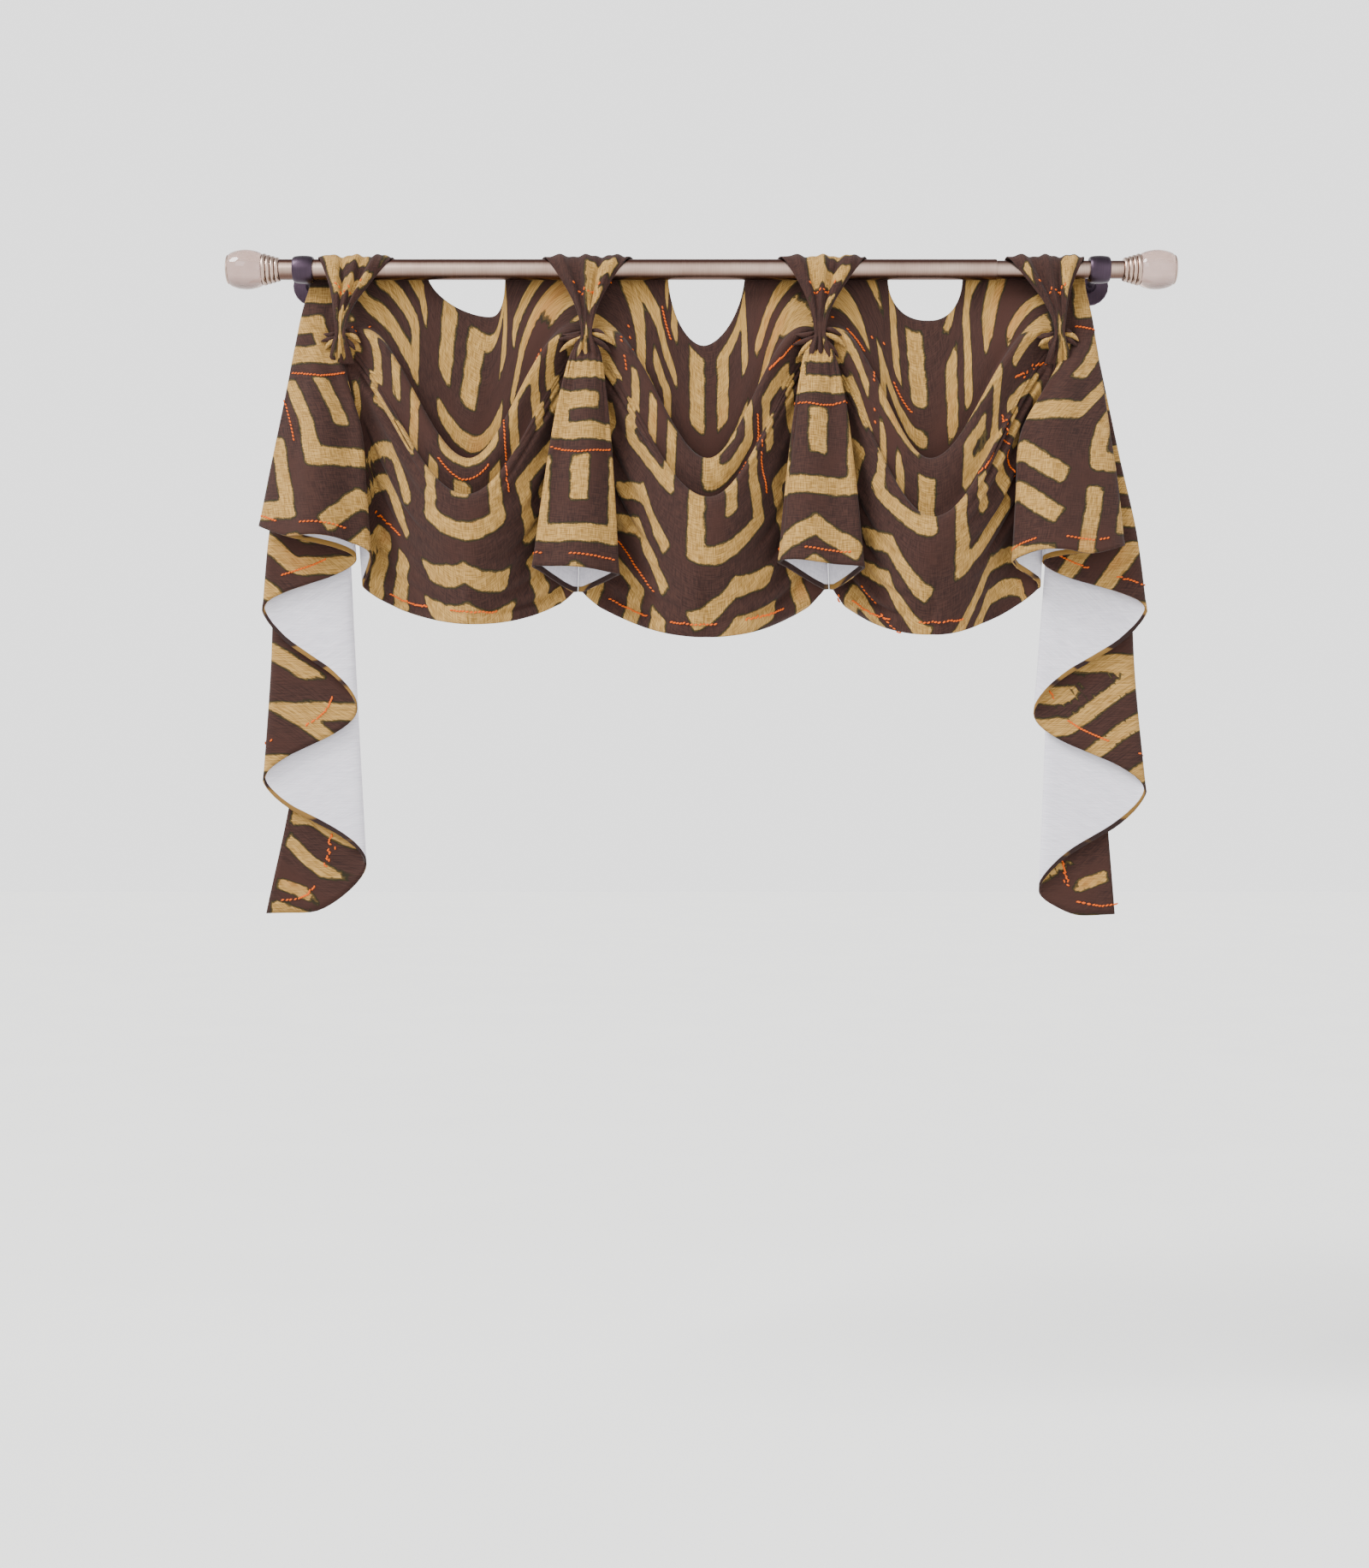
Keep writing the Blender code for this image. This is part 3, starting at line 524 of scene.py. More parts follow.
def spline(points, cuts):
    """Smooth curves through points[0], points[1] and so on, with each cell cut into its number of steps."""
    points = np.asarray(points, float)
    first = 2 * points[0] - points[1]
    last = 2 * points[-1] - points[-2]
    points = np.concatenate([first[None], points, last[None]])
    gaps = np.sqrt(np.linalg.norm(np.diff(points, axis=0), axis=-1, keepdims=True)) + 1e-6
    out = []
    for i, cut in enumerate(cuts):
        p0, p1, p2, p3 = points[i:i + 4]
        g0, g1, g2 = gaps[i:i + 3]
        tangent1 = ((p1 - p0) / g0 - (p2 - p0) / (g0 + g1) + (p2 - p1) / g1) * g1
        tangent2 = ((p2 - p1) / g1 - (p3 - p1) / (g1 + g2) + (p3 - p2) / g2) * g1
        for step in range(cut):
            t = step / cut
            out.append(
                (2 * t**3 - 3 * t**2 + 1) * p1 + (t**3 - 2 * t**2 + t) * tangent1
                + (3 * t**2 - 2 * t**3) * p2 + (t**3 - t**2) * tangent2
            )
    out.append(points[len(cuts) + 1])
    return np.array(out)


def fine_swag(index):
    """One swag's fine grid of points: rows down from the scoop, columns from left to right."""
    count = COLUMNS * COLUMN_CUTS
    columns = []
    for c in range(count + 1):
        u = c / count
        fold = [fold_point(index, row, u) for row in range(len(SWAG_ROWS))]
        edge = scoop_point(index, c / COLUMN_CUTS)
        columns.append([edge.lerp(fold[0], share) for share in TOP_SHARES] + fold)
    rows = np.asarray([[tuple(p) for p in column] for column in columns]).transpose(1, 0, 2)
    return spline(rows, TOP_CUTS + FOLD_CUTS + SHARED_CUTS)


def fine_grid(rows, row_cuts, column_cuts):
    """A fine grid through the part's own points."""
    coarse = np.asarray([[tuple(p) for p in row] for row in rows])
    across = spline(coarse.transpose(1, 0, 2), column_cuts).transpose(1, 0, 2)
    return spline(across, row_cuts)


def cascade_cuts():
    """Cuts of each cell across a cascade: fine over the flats, two at each fold's turn."""
    cuts = [2, 2, 3]
    columns = cascade_columns()
    for a, b in zip(columns, columns[1:]):
        turning = a[2] != b[2]
        cuts.append(3 if turning else 5 if a[0] == 0 else 4)
    return tuple(cuts)


def cascade_layers():
    """The layer that each fine column across a cascade belongs to, -1 in the tuck beside its seam."""
    lines = [-1, -1, -1] + [column[0] for column in cascade_columns()]
    layers = []
    for line, cut in zip(lines, cascade_cuts()):
        layers += [line] * cut
    return np.array(layers + [LAYERS - 1])


def surface_zones():
    """Every zone of the cloth as a fine grid, with shared edges made equal; columns run left to right."""
    swags = [fine_swag(index) for index in range(len(SWAGS))]
    trumpet_cuts = (2, 2, 3) + (COLUMN_CUTS,) * TRUMPET_COLUMNS + (3, 2, 2)
    trumpets = [fine_grid(trumpet_rows(spec), SHARED_CUTS, trumpet_cuts) for spec in TRUMPETS]
    cuts = cascade_cuts()
    cascades = [fine_grid(cascade_rows(spec), CASCADE_TOP_CUTS + SHARED_CUTS, cuts) for spec in CASCADES]
    layers = cascade_layers()
    swags = [crease_swag(grid, index) for index, grid in enumerate(swags)]
    trumpets = [crease_trumpet(grid, seed) for grid, seed in zip(trumpets, (0.6, 2.1))]
    cascades = [crease_cascade(grid, layers, seed) for grid, seed in zip(cascades, (-0.5, 0.9))]
    shared = sum(SHARED_CUTS) + 1
    joined = swags[0].shape[0] - shared
    for left, right in ((swags[0], swags[1]), (swags[1], swags[2])):
        middle = (left[:joined, -1] + right[:joined, 0]) / 2
        left[:joined, -1] = middle
        right[:joined, 0] = middle
    for trumpet, left, right in ((trumpets[0], swags[0], swags[1]), (trumpets[1], swags[1], swags[2])):
        trumpet[:, 0] = left[-shared:, -1]
        trumpet[:, -1] = right[-shared:, 0]
        left[joined - 1, -1] = right[joined - 1, 0]
    cascades[0][-shared:, 0] = swags[0][-shared:, 0]
    cascades[1][-shared:, 0] = swags[2][-shared:, -1]
    zones = [
        {"name": "tail_left", "piece": "tail_left", "grid": cascades[0][:, ::-1], "layers": layers[::-1]},
        {"name": "swag_1", "piece": "swags", "grid": swags[0]},
        {"name": "trumpet_1", "piece": "swags", "grid": trumpets[0]},
        {"name": "swag_2", "piece": "swags", "grid": swags[1]},
        {"name": "trumpet_2", "piece": "swags", "grid": trumpets[1]},
        {"name": "swag_3", "piece": "swags", "grid": swags[2]},
        {"name": "tail_right", "piece": "tail_right", "grid": cascades[1], "layers": layers},
    ]
    return zones


def arc(grid, axis):
    """Distance along one direction of a grid, in millimetres."""
    steps = np.linalg.norm(np.diff(grid, axis=axis), axis=-1)
    total = np.cumsum(steps, axis=axis)
    zero = np.zeros_like(np.take(total, [0], axis=axis))
    return np.concatenate([zero, total], axis=axis)


def chart(zone):
    """The zone's flat coordinates in millimetres: across from its middle line, and down."""
    grid = zone["grid"]
    across = arc(grid, 1)
    if zone["name"].startswith("tail"):
        zone["a"] = across if zone["name"].endswith("right") else across[:, -1:] - across
        zone["b"] = -grid[:, :, 2]
        return
    middle = grid.shape[1] // 2
    zone["a"] = across - across[:, middle:middle + 1]
    down = arc(grid, 0)
    if zone["name"].startswith("swag"):
        start = sum(TOP_CUTS)
        zone["b"] = down - down[start:start + 1]
    else:
        zone["b"] = down


def bar_distance(a, b, start, end, half):
    """How far inside a straight bar with slightly rounded corners each place lies; outside it is negative."""
    run = np.subtract(end, start)
    length = float(np.hypot(*run))
    along_a, along_b = run / length
    mid_a, mid_b = np.add(start, end) / 2
    along = np.abs((a - mid_a) * along_a + (b - mid_b) * along_b) - (length / 2 + half * END_REACH - CORNER_ROUND)
    side = np.abs((b - mid_b) * along_a - (a - mid_a) * along_b) - (half - CORNER_ROUND)
    outside = np.hypot(np.maximum(along, 0), np.maximum(side, 0))
    return CORNER_ROUND - outside - np.minimum(np.maximum(along, side), 0)


def cells_of(zone):
    """The repeat's cells that can reach a zone: each one's column, row and middle in millimetres."""
    width, drop = CELL[0] * CM, CELL[1] * CM
    start_a, start_b = PATTERN_STARTS[zone["name"]]
    columns = [math.floor((edge - start_a) / width) for edge in (zone["a"].min(), zone["a"].max())]
    rows = [math.floor((edge - start_b) / drop) for edge in (zone["b"].min(), zone["b"].max())]
    cells = []
    for column in range(columns[0], columns[1] + 2):
        lower = drop / 2 if column % 2 else 0
        for row in range(rows[0] - 1, rows[1] + 2):
            cells.append((column, row, (start_a + column * width, start_b + row * drop + lower)))
    return cells


def placed(line, column, middle):
    """A cell's charted line in a zone's millimetres."""
    flip = -1 if column % 2 else 1
    return [np.array([middle[0] + flip * x * CM, middle[1] + y * CM]) for x, y in line]


def draw_bands(zone):
    """Each place's distance from the edge of the bands, which stop short of the zone's sides."""
    a, b = zone["a"], zone["b"]
    zone["cells"] = cells_of(zone)
    distance = np.full(a.shape, FAR_OUT)
    for column, row, middle in zone["cells"]:
        for line in MOTIFS[(row + MOTIF_STEP * column) % len(MOTIFS)]:
            points = placed(line, column, middle)
            for start, end in zip(points, points[1:]):
                distance = np.maximum(distance, bar_distance(a, b, start, end, BAND_HALF))
    sides = np.minimum(np.abs(a - a[:, :1]), np.abs(a[:, -1:] - a))
    zone["band"] = np.maximum(np.minimum(distance, sides - SEAM_CLEAR), FAR_OUT)


def row_numbers():
    """The fold row, as a running number, of each fine row of a swag; rows above the folds count below zero."""
    numbers = []
    for row, cuts in enumerate(TOP_CUTS + FOLD_CUTS + SHARED_CUTS, -len(TOP_CUTS)):
        numbers += [row + step / cuts for step in range(cuts)]
    return np.array(numbers + [len(SWAG_ROWS) - 1])


def ramp(values, low, high):
    """A soft step from 0 at low to 1 at high for an array."""
    t = np.clip((values - low) / (high - low), 0, 1)
    return t * t * (3 - 2 * t)


def raised(grid, heights):
    """A grid moved towards the room along its normals."""
    normals = np.cross(np.gradient(grid, axis=0), np.gradient(grid, axis=1))
    normals /= np.maximum(np.linalg.norm(normals, axis=2, keepdims=True), 1e-6)
    return grid + normals * heights[..., None]


def crease_swag(grid, index):
    """Ridges that run out of both pinches and die away, and soft waves towards the hem."""
    v = row_numbers()[:, None]
    u = np.linspace(0, 1, grid.shape[1])[None, :]
    near = 2 * np.minimum(u, 1 - u)
    side = np.where(u < 0.5, 0.0, 1.9) + 2.3 * index
    spread = ramp(near, 0.03, 0.18) * (1 - ramp(near, 0.25 + 0.2 * np.sin(1.3 * v + side), 0.95))
    cycles = 0.78 * np.minimum(v, 9) + 1.55 * np.maximum(v - 9, 0)
    ridges = np.sin(math.tau * (cycles + 0.5 * near) + side) + 0.35 * np.sin(math.tau * 1.7 * cycles + 2 * side)
    uneven = 0.65 + 0.35 * np.sin(0.9 * v + 1.7 * side)
    loose = 0.12 + 0.88 * ramp(v, 8.0, 9.5)
    heights = PINCH_CREASE * spread * ridges * uneven * loose * ramp(v, 3.2, 5.0)
    pulls = np.sin(math.tau * (2.2 * u + 0.15 * v) + side)
    heights += HEM_WAVE * pulls * ramp(v, 10.5, 13) * ramp(near, 0.15, 0.5)
    heights += 1.5 * np.sin(math.tau * 1.4 * near + 1.1 * v + index) * ramp(near, 0.1, 0.4) * ramp(-v, 0.2, 2.0)
    return raised(grid, heights)


def crease_trumpet(grid, seed):
    """Soft flutes down a trumpet's front, and fine gathers just below its pinch."""
    w = np.linspace(-1, 1, grid.shape[1])[None, :]
    t = np.linspace(0, 1, grid.shape[0])[:, None]
    front = 1 - ramp(np.abs(w), 0.45, 0.72)
    flutes = np.sin(math.tau * (1.5 * w + 0.12 * t) + seed) * ramp(t, 0.02, 0.35)
    gathers = np.sin(math.tau * 6 * w + seed) * (1 - ramp(t, 0.1, 0.4))
    return raised(grid, (FLUTE * flutes + GATHER * gathers) * front * ramp(t, 0.0, 0.06))


def crease_cascade(grid, layers, seed):
    """Soft flutes down a tail's broad front, fading to its edges."""
    first = np.flatnonzero(layers == 0)
    t = np.linspace(0, 1, grid.shape[0])[:, None]
    heights = np.zeros(grid.shape[:2])
    w = np.linspace(0, 1, len(first))[None, :]
    edge = ramp(w, 0.0, 0.2) * (1 - ramp(w, 0.8, 1.0))
    heights[:, first] = FLUTE * np.sin(math.tau * (1.5 * w + 0.2 * t) + seed) * edge * ramp(t, 0.25, 0.6)
    outward = 1 if seed < 0 else -1
    return raised(grid, outward * heights)


def weld(zones):
    """One list of points for all zones, and each zone's quads as point numbers."""
    points = []
    lookup = {}
    for zone in zones:
        rows, columns, _ = zone["grid"].shape
        ids = np.zeros((rows, columns), int)
        for r in range(rows):
            for c in range(columns):
                point = zone["grid"][r, c]
                key = tuple(np.round(point, 3))
                if key not in lookup:
                    lookup[key] = len(points)
                    points.append(point)
                ids[r, c] = lookup[key]
        zone["ids"] = ids
    return np.array(points)


def quads_of(ids):
    """The quads of a grid of point numbers, wound so that they face the room."""
    return np.stack([ids[:-1, :-1], ids[1:, :-1], ids[1:, 1:], ids[:-1, 1:]], axis=-1).reshape(-1, 4)


def point_normals(points, quads):
    """Smooth normals of welded quads."""
    across = points[quads[:, 2]] - points[quads[:, 0]]
    down = points[quads[:, 3]] - points[quads[:, 1]]
    face = np.cross(across, down)
    normals = np.zeros_like(points)
    for corner in range(4):
        np.add.at(normals, quads[:, corner], face)
    return normals / np.maximum(np.linalg.norm(normals, axis=1, keepdims=True), 1e-9)


def shell(name, points, normals, quads, flat, band, hem, inner, outer, hem_gap=None):
    """A closed thin sheet between two distances from the middle surface, with flat places and band distances."""
    used = np.unique(quads)
    local = np.full(len(points), -1)
    local[used] = np.arange(len(used))
    faces = local[quads]
    count = len(used)
    rolled = outer + np.sign(outer) * HEM_ROLL * hem[used] if band is not None else outer
    near = points[used] * MM + normals[used] * np.reshape(rolled, (-1, 1))
    far = points[used] * MM + normals[used] * inner
    front = faces if outer > 0 else faces[:, ::-1]
    back = (faces[:, ::-1] if outer > 0 else faces) + count
    edges = {}
    for f, quad in enumerate(front):
        for i in range(4):
            edges[(quad[i], quad[(i + 1) % 4])] = (f, i)
    rim = [(a, b, *place) for (a, b), place in edges.items() if (b, a) not in edges]
    rim_quads = np.array([(b, a, a + count, b + count) for a, b, _, _ in rim])
    data = bpy.data.meshes.new(name)
    all_faces = np.concatenate([front, back, rim_quads])
    data.from_pydata(np.concatenate([near, far]).tolist(), [], all_faces.tolist())
    front_order = [0, 1, 2, 3] if outer > 0 else [3, 2, 1, 0]
    back_order = front_order[::-1]
    rim_uv = [[flat[f][front_order[(i + 1) % 4]], flat[f][front_order[i]]] for _, _, f, i in rim]
    rim_uv = np.array([[uv[0], uv[1], uv[1], uv[0]] for uv in rim_uv])
    uvs = np.concatenate([flat[:, front_order], flat[:, back_order], rim_uv]).reshape(-1, 2)
    layer = data.uv_layers.new(name="flat")
    layer.data.foreach_set("uv", (uvs * MM).astype(np.float32).ravel())
    if band is not None or hem_gap is not None:
        band = hem_gap if band is None else band
        rim_band = [[band[f][front_order[(i + 1) % 4]], band[f][front_order[i]]] for _, _, f, i in rim]
        rim_band = np.array([[v[0], v[1], v[1], v[0]] for v in rim_band])
        values = np.concatenate([band[:, front_order], band[:, back_order], rim_band]).ravel()
        data.attributes.new("band", "FLOAT", "CORNER").data.foreach_set("value", values.astype(np.float32))
    data.update()
    data.shade_smooth()
    obj = bpy.data.objects.new(name, data)
    bpy.context.scene.collection.objects.link(obj)
    obj.location = (0, ROD_Y, 0)
    return obj


def corner_values(grid):
    """Corner values for every quad, as quads by 4 or quads by 4 by 2."""
    parts = [grid[:-1, :-1], grid[1:, :-1], grid[1:, 1:], grid[:-1, 1:]]
    stacked = np.stack(parts, axis=2)
    return stacked.reshape(-1, 4, *grid.shape[2:])


def tab_rows(spec):
    """Rows of points of a tab's middle surface, from behind the rod over it and down to the pinch."""
    reach = (OUTER_TUBE_D / 2 + TAB_CLEAR + TAB_T / 2) / MM
    pinch_x = PINCHES[spec["pinch"]]["x"]
    levels = []
    for angle, share, pleat in TAB_ROUND_ROWS:
        turn = math.radians(angle)
        back = smooth((angle - TAB_BACK_START) / TAB_BACK_SWEEP)
        width = lerp(spec["top"] * share, spec["back"], back)
        levels.append((-reach * math.cos(turn), reach * math.sin(turn), width, pleat))
    for z, share, pleat in TAB_FALL_ROWS:
        levels.append((-reach + TAB_LEAN * z, z, spec["top"] * share, pleat))
    last_y, last_z = levels[-1][:2]
    for z, share, pleat in TAB_END_ROWS:
        y = lerp(last_y, TAB_END_Y[spec["pinch"]], (z - last_z) / (TAB_END_ROWS[-1][0] - last_z))
        levels.append((y, z, spec["top"] * share, pleat))
    rows = []
    for y, z, width, pleat in levels:
        toward = smooth((reach - z) / TAB_SHIFT_DROP) if y < 0 else 0
        middle = lerp(spec["mid_x"], pinch_x, toward)
        row = []
        for c in range(TAB_FINE_COLUMNS + 1):
            share = c / TAB_FINE_COLUMNS
            lift = TAB_PLEAT_DEPTH * pleat * (1 - math.cos(math.tau * TAB_PLEATS * share)) / 2
            lift += TAB_FINE_PLEAT * min(pleat, 2) * math.sin(math.tau * 2.3 * TAB_PLEATS * share**1.2 + pinch_x)
            out = Vector((0, y, z)).normalized() if z >= 0 else Vector((0, -1, 0))
            row.append(Vector((middle + width * (share - 0.5), y, z)) + out * lift)
        rows.append(row)
    return rows


def tab_grid(spec):
    """A tab's fine grid."""
    coarse = np.asarray([[tuple(p) for p in row] for row in tab_rows(spec)])
    return spline(coarse, (TAB_ROW_CUTS,) * (len(coarse) - 1))


class Shader:
    """A material's node tree, built by short calls."""

    def __init__(self, name, slot_roughness, metallic=0.0):
        self.material = bpy.data.materials.new(name)
        self.material.use_nodes = True
        self.tree = self.material.node_tree
        self.bsdf = self.tree.nodes["Principled BSDF"]
        self.bsdf.inputs["Roughness"].default_value = slot_roughness
        self.bsdf.inputs["Metallic"].default_value = metallic

    def node(self, kind, inputs=(), **settings):
        """A node with settings and inputs; an input is a value or another node's socket."""
        made = self.tree.nodes.new(kind)
        for key, value in settings.items():
            setattr(made, key, value)
        for key, value in dict(inputs).items():
            if isinstance(value, bpy.types.NodeSocket):
                self.tree.links.new(value, made.inputs[key])
            else:
                made.inputs[key].default_value = value
        return made

    def math(self, operation, a, b=0.0, clamp=False):
        return self.node("ShaderNodeMath", {0: a, 1: b}, operation=operation, use_clamp=clamp).outputs[0]

    def step(self, value, low, high):
        """A soft step from 0 at low to 1 at high."""
        made = self.node(
            "ShaderNodeMapRange",
            {"Value": value, "From Min": low, "From Max": high},
            interpolation_type="SMOOTHSTEP",
        )
        return made.outputs["Result"]

    def mix(self, share, a, b):
        """Colour a to colour b by a share."""
        made = self.node("ShaderNodeMix", data_type="RGBA")
        for key, value in ((0, share), (6, a), (7, b)):
            if isinstance(value, bpy.types.NodeSocket):
                self.tree.links.new(value, made.inputs[key])
            elif key == 0:
                made.inputs[key].default_value = value
            else:
                made.inputs[key].default_value = (*value, 1)
        return made.outputs[2]

    def place(self, scale=(1, 1, 1), source="UV"):
        """Flat cloth coordinates in metres, or the object's own, scaled."""
        coordinates = self.node("ShaderNodeTexCoord")
        mapping = self.node("ShaderNodeMapping", {"Vector": coordinates.outputs[source], "Scale": scale})
        return mapping.outputs[0]

    def noise(self, vector, scale=1.0, detail=2.0, roughness=0.5):
        made = self.node(
            "ShaderNodeTexNoise",
            {"Vector": vector, "Scale": scale, "Detail": detail, "Roughness": roughness},
        )
        return made.outputs["Fac"]

    def colour(self, socket):
        self.tree.links.new(socket, self.bsdf.inputs["Base Color"])

    def bump(self, height, strength, distance):
        made = self.node("ShaderNodeBump", {"Height": height, "Strength": strength, "Distance": distance})
        self.tree.links.new(made.outputs[0], self.bsdf.inputs["Normal"])


def threads(shader):
    """Crossed slub streaks of a coarse plain weave, about 0.5."""
    warp = shader.noise(shader.place((900, 70, 1)), detail=1.5)
    weft = shader.noise(shader.place((70, 900, 1)), detail=1.5)
    return shader.math("MULTIPLY", shader.math("ADD", warp, weft), 0.5)


def face_material():
    """The printed face cloth: tan bands with an overcast outline on brown, read from the band distances."""
    shader = Shader("face_cloth", 0.92)
    weave = threads(shader)
    streak = shader.step(weave, 0.38, 0.62)
    blotch = shader.noise(shader.place((9, 9, 1)), detail=3)
    band = shader.node("ShaderNodeAttribute", attribute_name="band").outputs["Fac"]
    wobble = shader.noise(shader.place((55, 55, 1)), detail=2)
    fray = shader.noise(shader.place((420, 420, 1)), detail=1)
    moved = shader.math("MULTIPLY", shader.math("SUBTRACT", wobble, 0.5), 7.0)
    moved = shader.math("ADD", moved, shader.math("MULTIPLY", shader.math("SUBTRACT", fray, 0.5), 2.6))
    distance = shader.math("ADD", band, moved)
    inside = shader.step(distance, -0.5, 0.5)
    edge = shader.math("ABSOLUTE", shader.math("SUBTRACT", distance, 0.2))
    outline = shader.math("SUBTRACT", 1.0, shader.step(edge, 0.9, 2.0), clamp=True)
    brown = shader.mix(streak, BROWN_DARK, BROWN_LIGHT)
    brown = shader.mix(shader.step(blotch, 0.45, 0.7), brown, BROWN_WARM)
    tan = shader.mix(streak, TAN_DARK, TAN_LIGHT)
    tan = shader.mix(shader.math("MULTIPLY", shader.step(blotch, 0.58, 0.72), 0.35), tan, RUST)
    colour = shader.mix(inside, brown, tan)
    outline = shader.math("MULTIPLY", outline, 0.85)
    colour = shader.mix(outline, colour, OLIVE)
    shader.colour(colour)
    relief = shader.math("ADD", weave, shader.math("MULTIPLY", inside, 0.4))
    shader.bump(relief, 0.35, 0.0006)
    shader.bsdf.inputs["Sheen Weight"].default_value = 0.04
    shader.bsdf.inputs["Specular IOR Level"].default_value = 0.2
    return shader.material


def lining_material():
    """Off-white lining cloth with a faint weave."""
    shader = Shader("lining", 0.9)
    weave = threads(shader)
    blotch = shader.noise(shader.place((14, 14, 1)), detail=3)
    colour = shader.mix(shader.step(weave, 0.35, 0.65), LINING_DARK, LINING_LIGHT)
    colour = shader.mix(shader.math("MULTIPLY", blotch, 0.18), colour, LINING_SHADE)
    below = shader.node("ShaderNodeAttribute", attribute_name="band").outputs["Fac"]
    wobble = shader.noise(shader.place((30, 30, 1)), detail=2)
    below = shader.math("ADD", below, shader.math("MULTIPLY", wobble, 2.0))
    turned_over = shader.math("SUBTRACT", 1.0, shader.step(below, TURN_OVER - 0.5, TURN_OVER + 0.5), clamp=True)
    patches = shader.step(shader.noise(shader.place((16, 16, 1)), detail=1), 0.52, 0.56)
    colour = shader.mix(turned_over, colour, shader.mix(patches, BROWN_DARK, TAN_DARK))
    shader.colour(colour)
    shader.bump(weave, 0.2, 0.0004)
    shader.bsdf.inputs["Sheen Weight"].default_value = 0.1
    shader.bsdf.inputs["Specular IOR Level"].default_value = 0.2
    return shader.material


def brushed_material(name, dark, light, roughness, painted_shade=False):
    """Metal brushed round its length; for the rod, shade is painted into the colour, dark along its top and
    underside.
    """
    shader = Shader(name, roughness, 1.0)
    lines = shader.noise(shader.place((900, 30, 30), "Object"), detail=2)
    cloud = shader.noise(shader.place((25, 25, 25), "Object"), detail=2)
    colour = shader.mix(shader.math("MULTIPLY", shader.math("ADD", lines, cloud), 0.5), dark, light)
    # Painted shade: the colour is darkened by height along the rod's top and underside, standing in for reflected
    # shade
    if painted_shade:
        place = shader.place(source="Object")
        height = shader.node("ShaderNodeSeparateXYZ", {"Vector": place}).outputs["Z"]
        colour = shader.mix(shader.step(height, 0.0030, 0.0090), colour, METAL_TOP_SHADE)
        under_shade = shader.step(shader.math("MULTIPLY", height, -1.0), 0.0010, 0.0105)
        colour = shader.mix(shader.math("MULTIPLY", under_shade, 0.85), colour, METAL_UNDER_SHADE)
    shader.colour(colour)
    rough = shader.node(
        "ShaderNodeMapRange", {"Value": lines, "To Min": roughness - 0.06, "To Max": roughness + 0.1}
    )
    shader.tree.links.new(rough.outputs[0], shader.bsdf.inputs["Roughness"])
    shader.bump(lines, 0.12, 0.0001)
    return shader.material


def glass_material():
    """Smoky rose crystal."""
    shader = Shader("crystal", 0.03)
    cloud = shader.noise(shader.place((40, 40, 40), "Object"), detail=1)
    shader.colour(shader.mix(cloud, GLASS_DARK, GLASS_LIGHT))
    shader.bsdf.inputs["Transmission Weight"].default_value = 1.0
    shader.bsdf.inputs["IOR"].default_value = 1.5
    return shader.material


def stitch_material():
    """Bright orange thread."""
    shader = Shader("orange_thread", 0.7)
    strand = shader.noise(shader.place((1500, 1500, 1500), "Object"), detail=1)
    shader.colour(shader.mix(strand, ORANGE_DARK, ORANGE_LIGHT))
    shader.bsdf.inputs["Specular IOR Level"].default_value = 0.2
    return shader.material


def turned(name, profile, material):
    """A body turned round the rod's axis from closed (x, radius) points."""
    bm = bmesh.new()
    rings = []
    for x, radius in profile:
        if radius < 1e-6:
            rings.append([bm.verts.new((x, ROD_Y, 0))])
            continue
        ring = []
        for step in range(ROUND):
            turn = math.tau * step / ROUND
            ring.append(bm.verts.new((x, ROD_Y - radius * math.cos(turn), radius * math.sin(turn))))
        rings.append(ring)
    for a, b in zip(rings, rings[1:]):
        for step in range(ROUND):
            after = (step + 1) % ROUND
            corners = [a[step % len(a)], a[after % len(a)], b[after % len(b)], b[step % len(b)]]
            corners = [v for i, v in enumerate(corners) if v not in corners[:i]]
            if len(corners) > 2:
                bm.faces.new(corners)
    bmesh.ops.remove_doubles(bm, verts=bm.verts, dist=1e-7)
    bmesh.ops.recalc_face_normals(bm, faces=bm.faces)
    data = bpy.data.meshes.new(name)
    bm.to_mesh(data)
    bm.free()
    data.shade_smooth()
    data.set_sharp_from_angle(angle=math.radians(32))
    data.materials.append(material)
    obj = bpy.data.objects.new(name, data)
    bpy.context.scene.collection.objects.link(obj)
    return obj


def keep(obj, slot, *nodes):
    """Rides on the part's one body, in place of CAD nodes; its slot is not used."""
    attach(obj, BODY)
    if nodes:
        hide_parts(*nodes)
    return obj


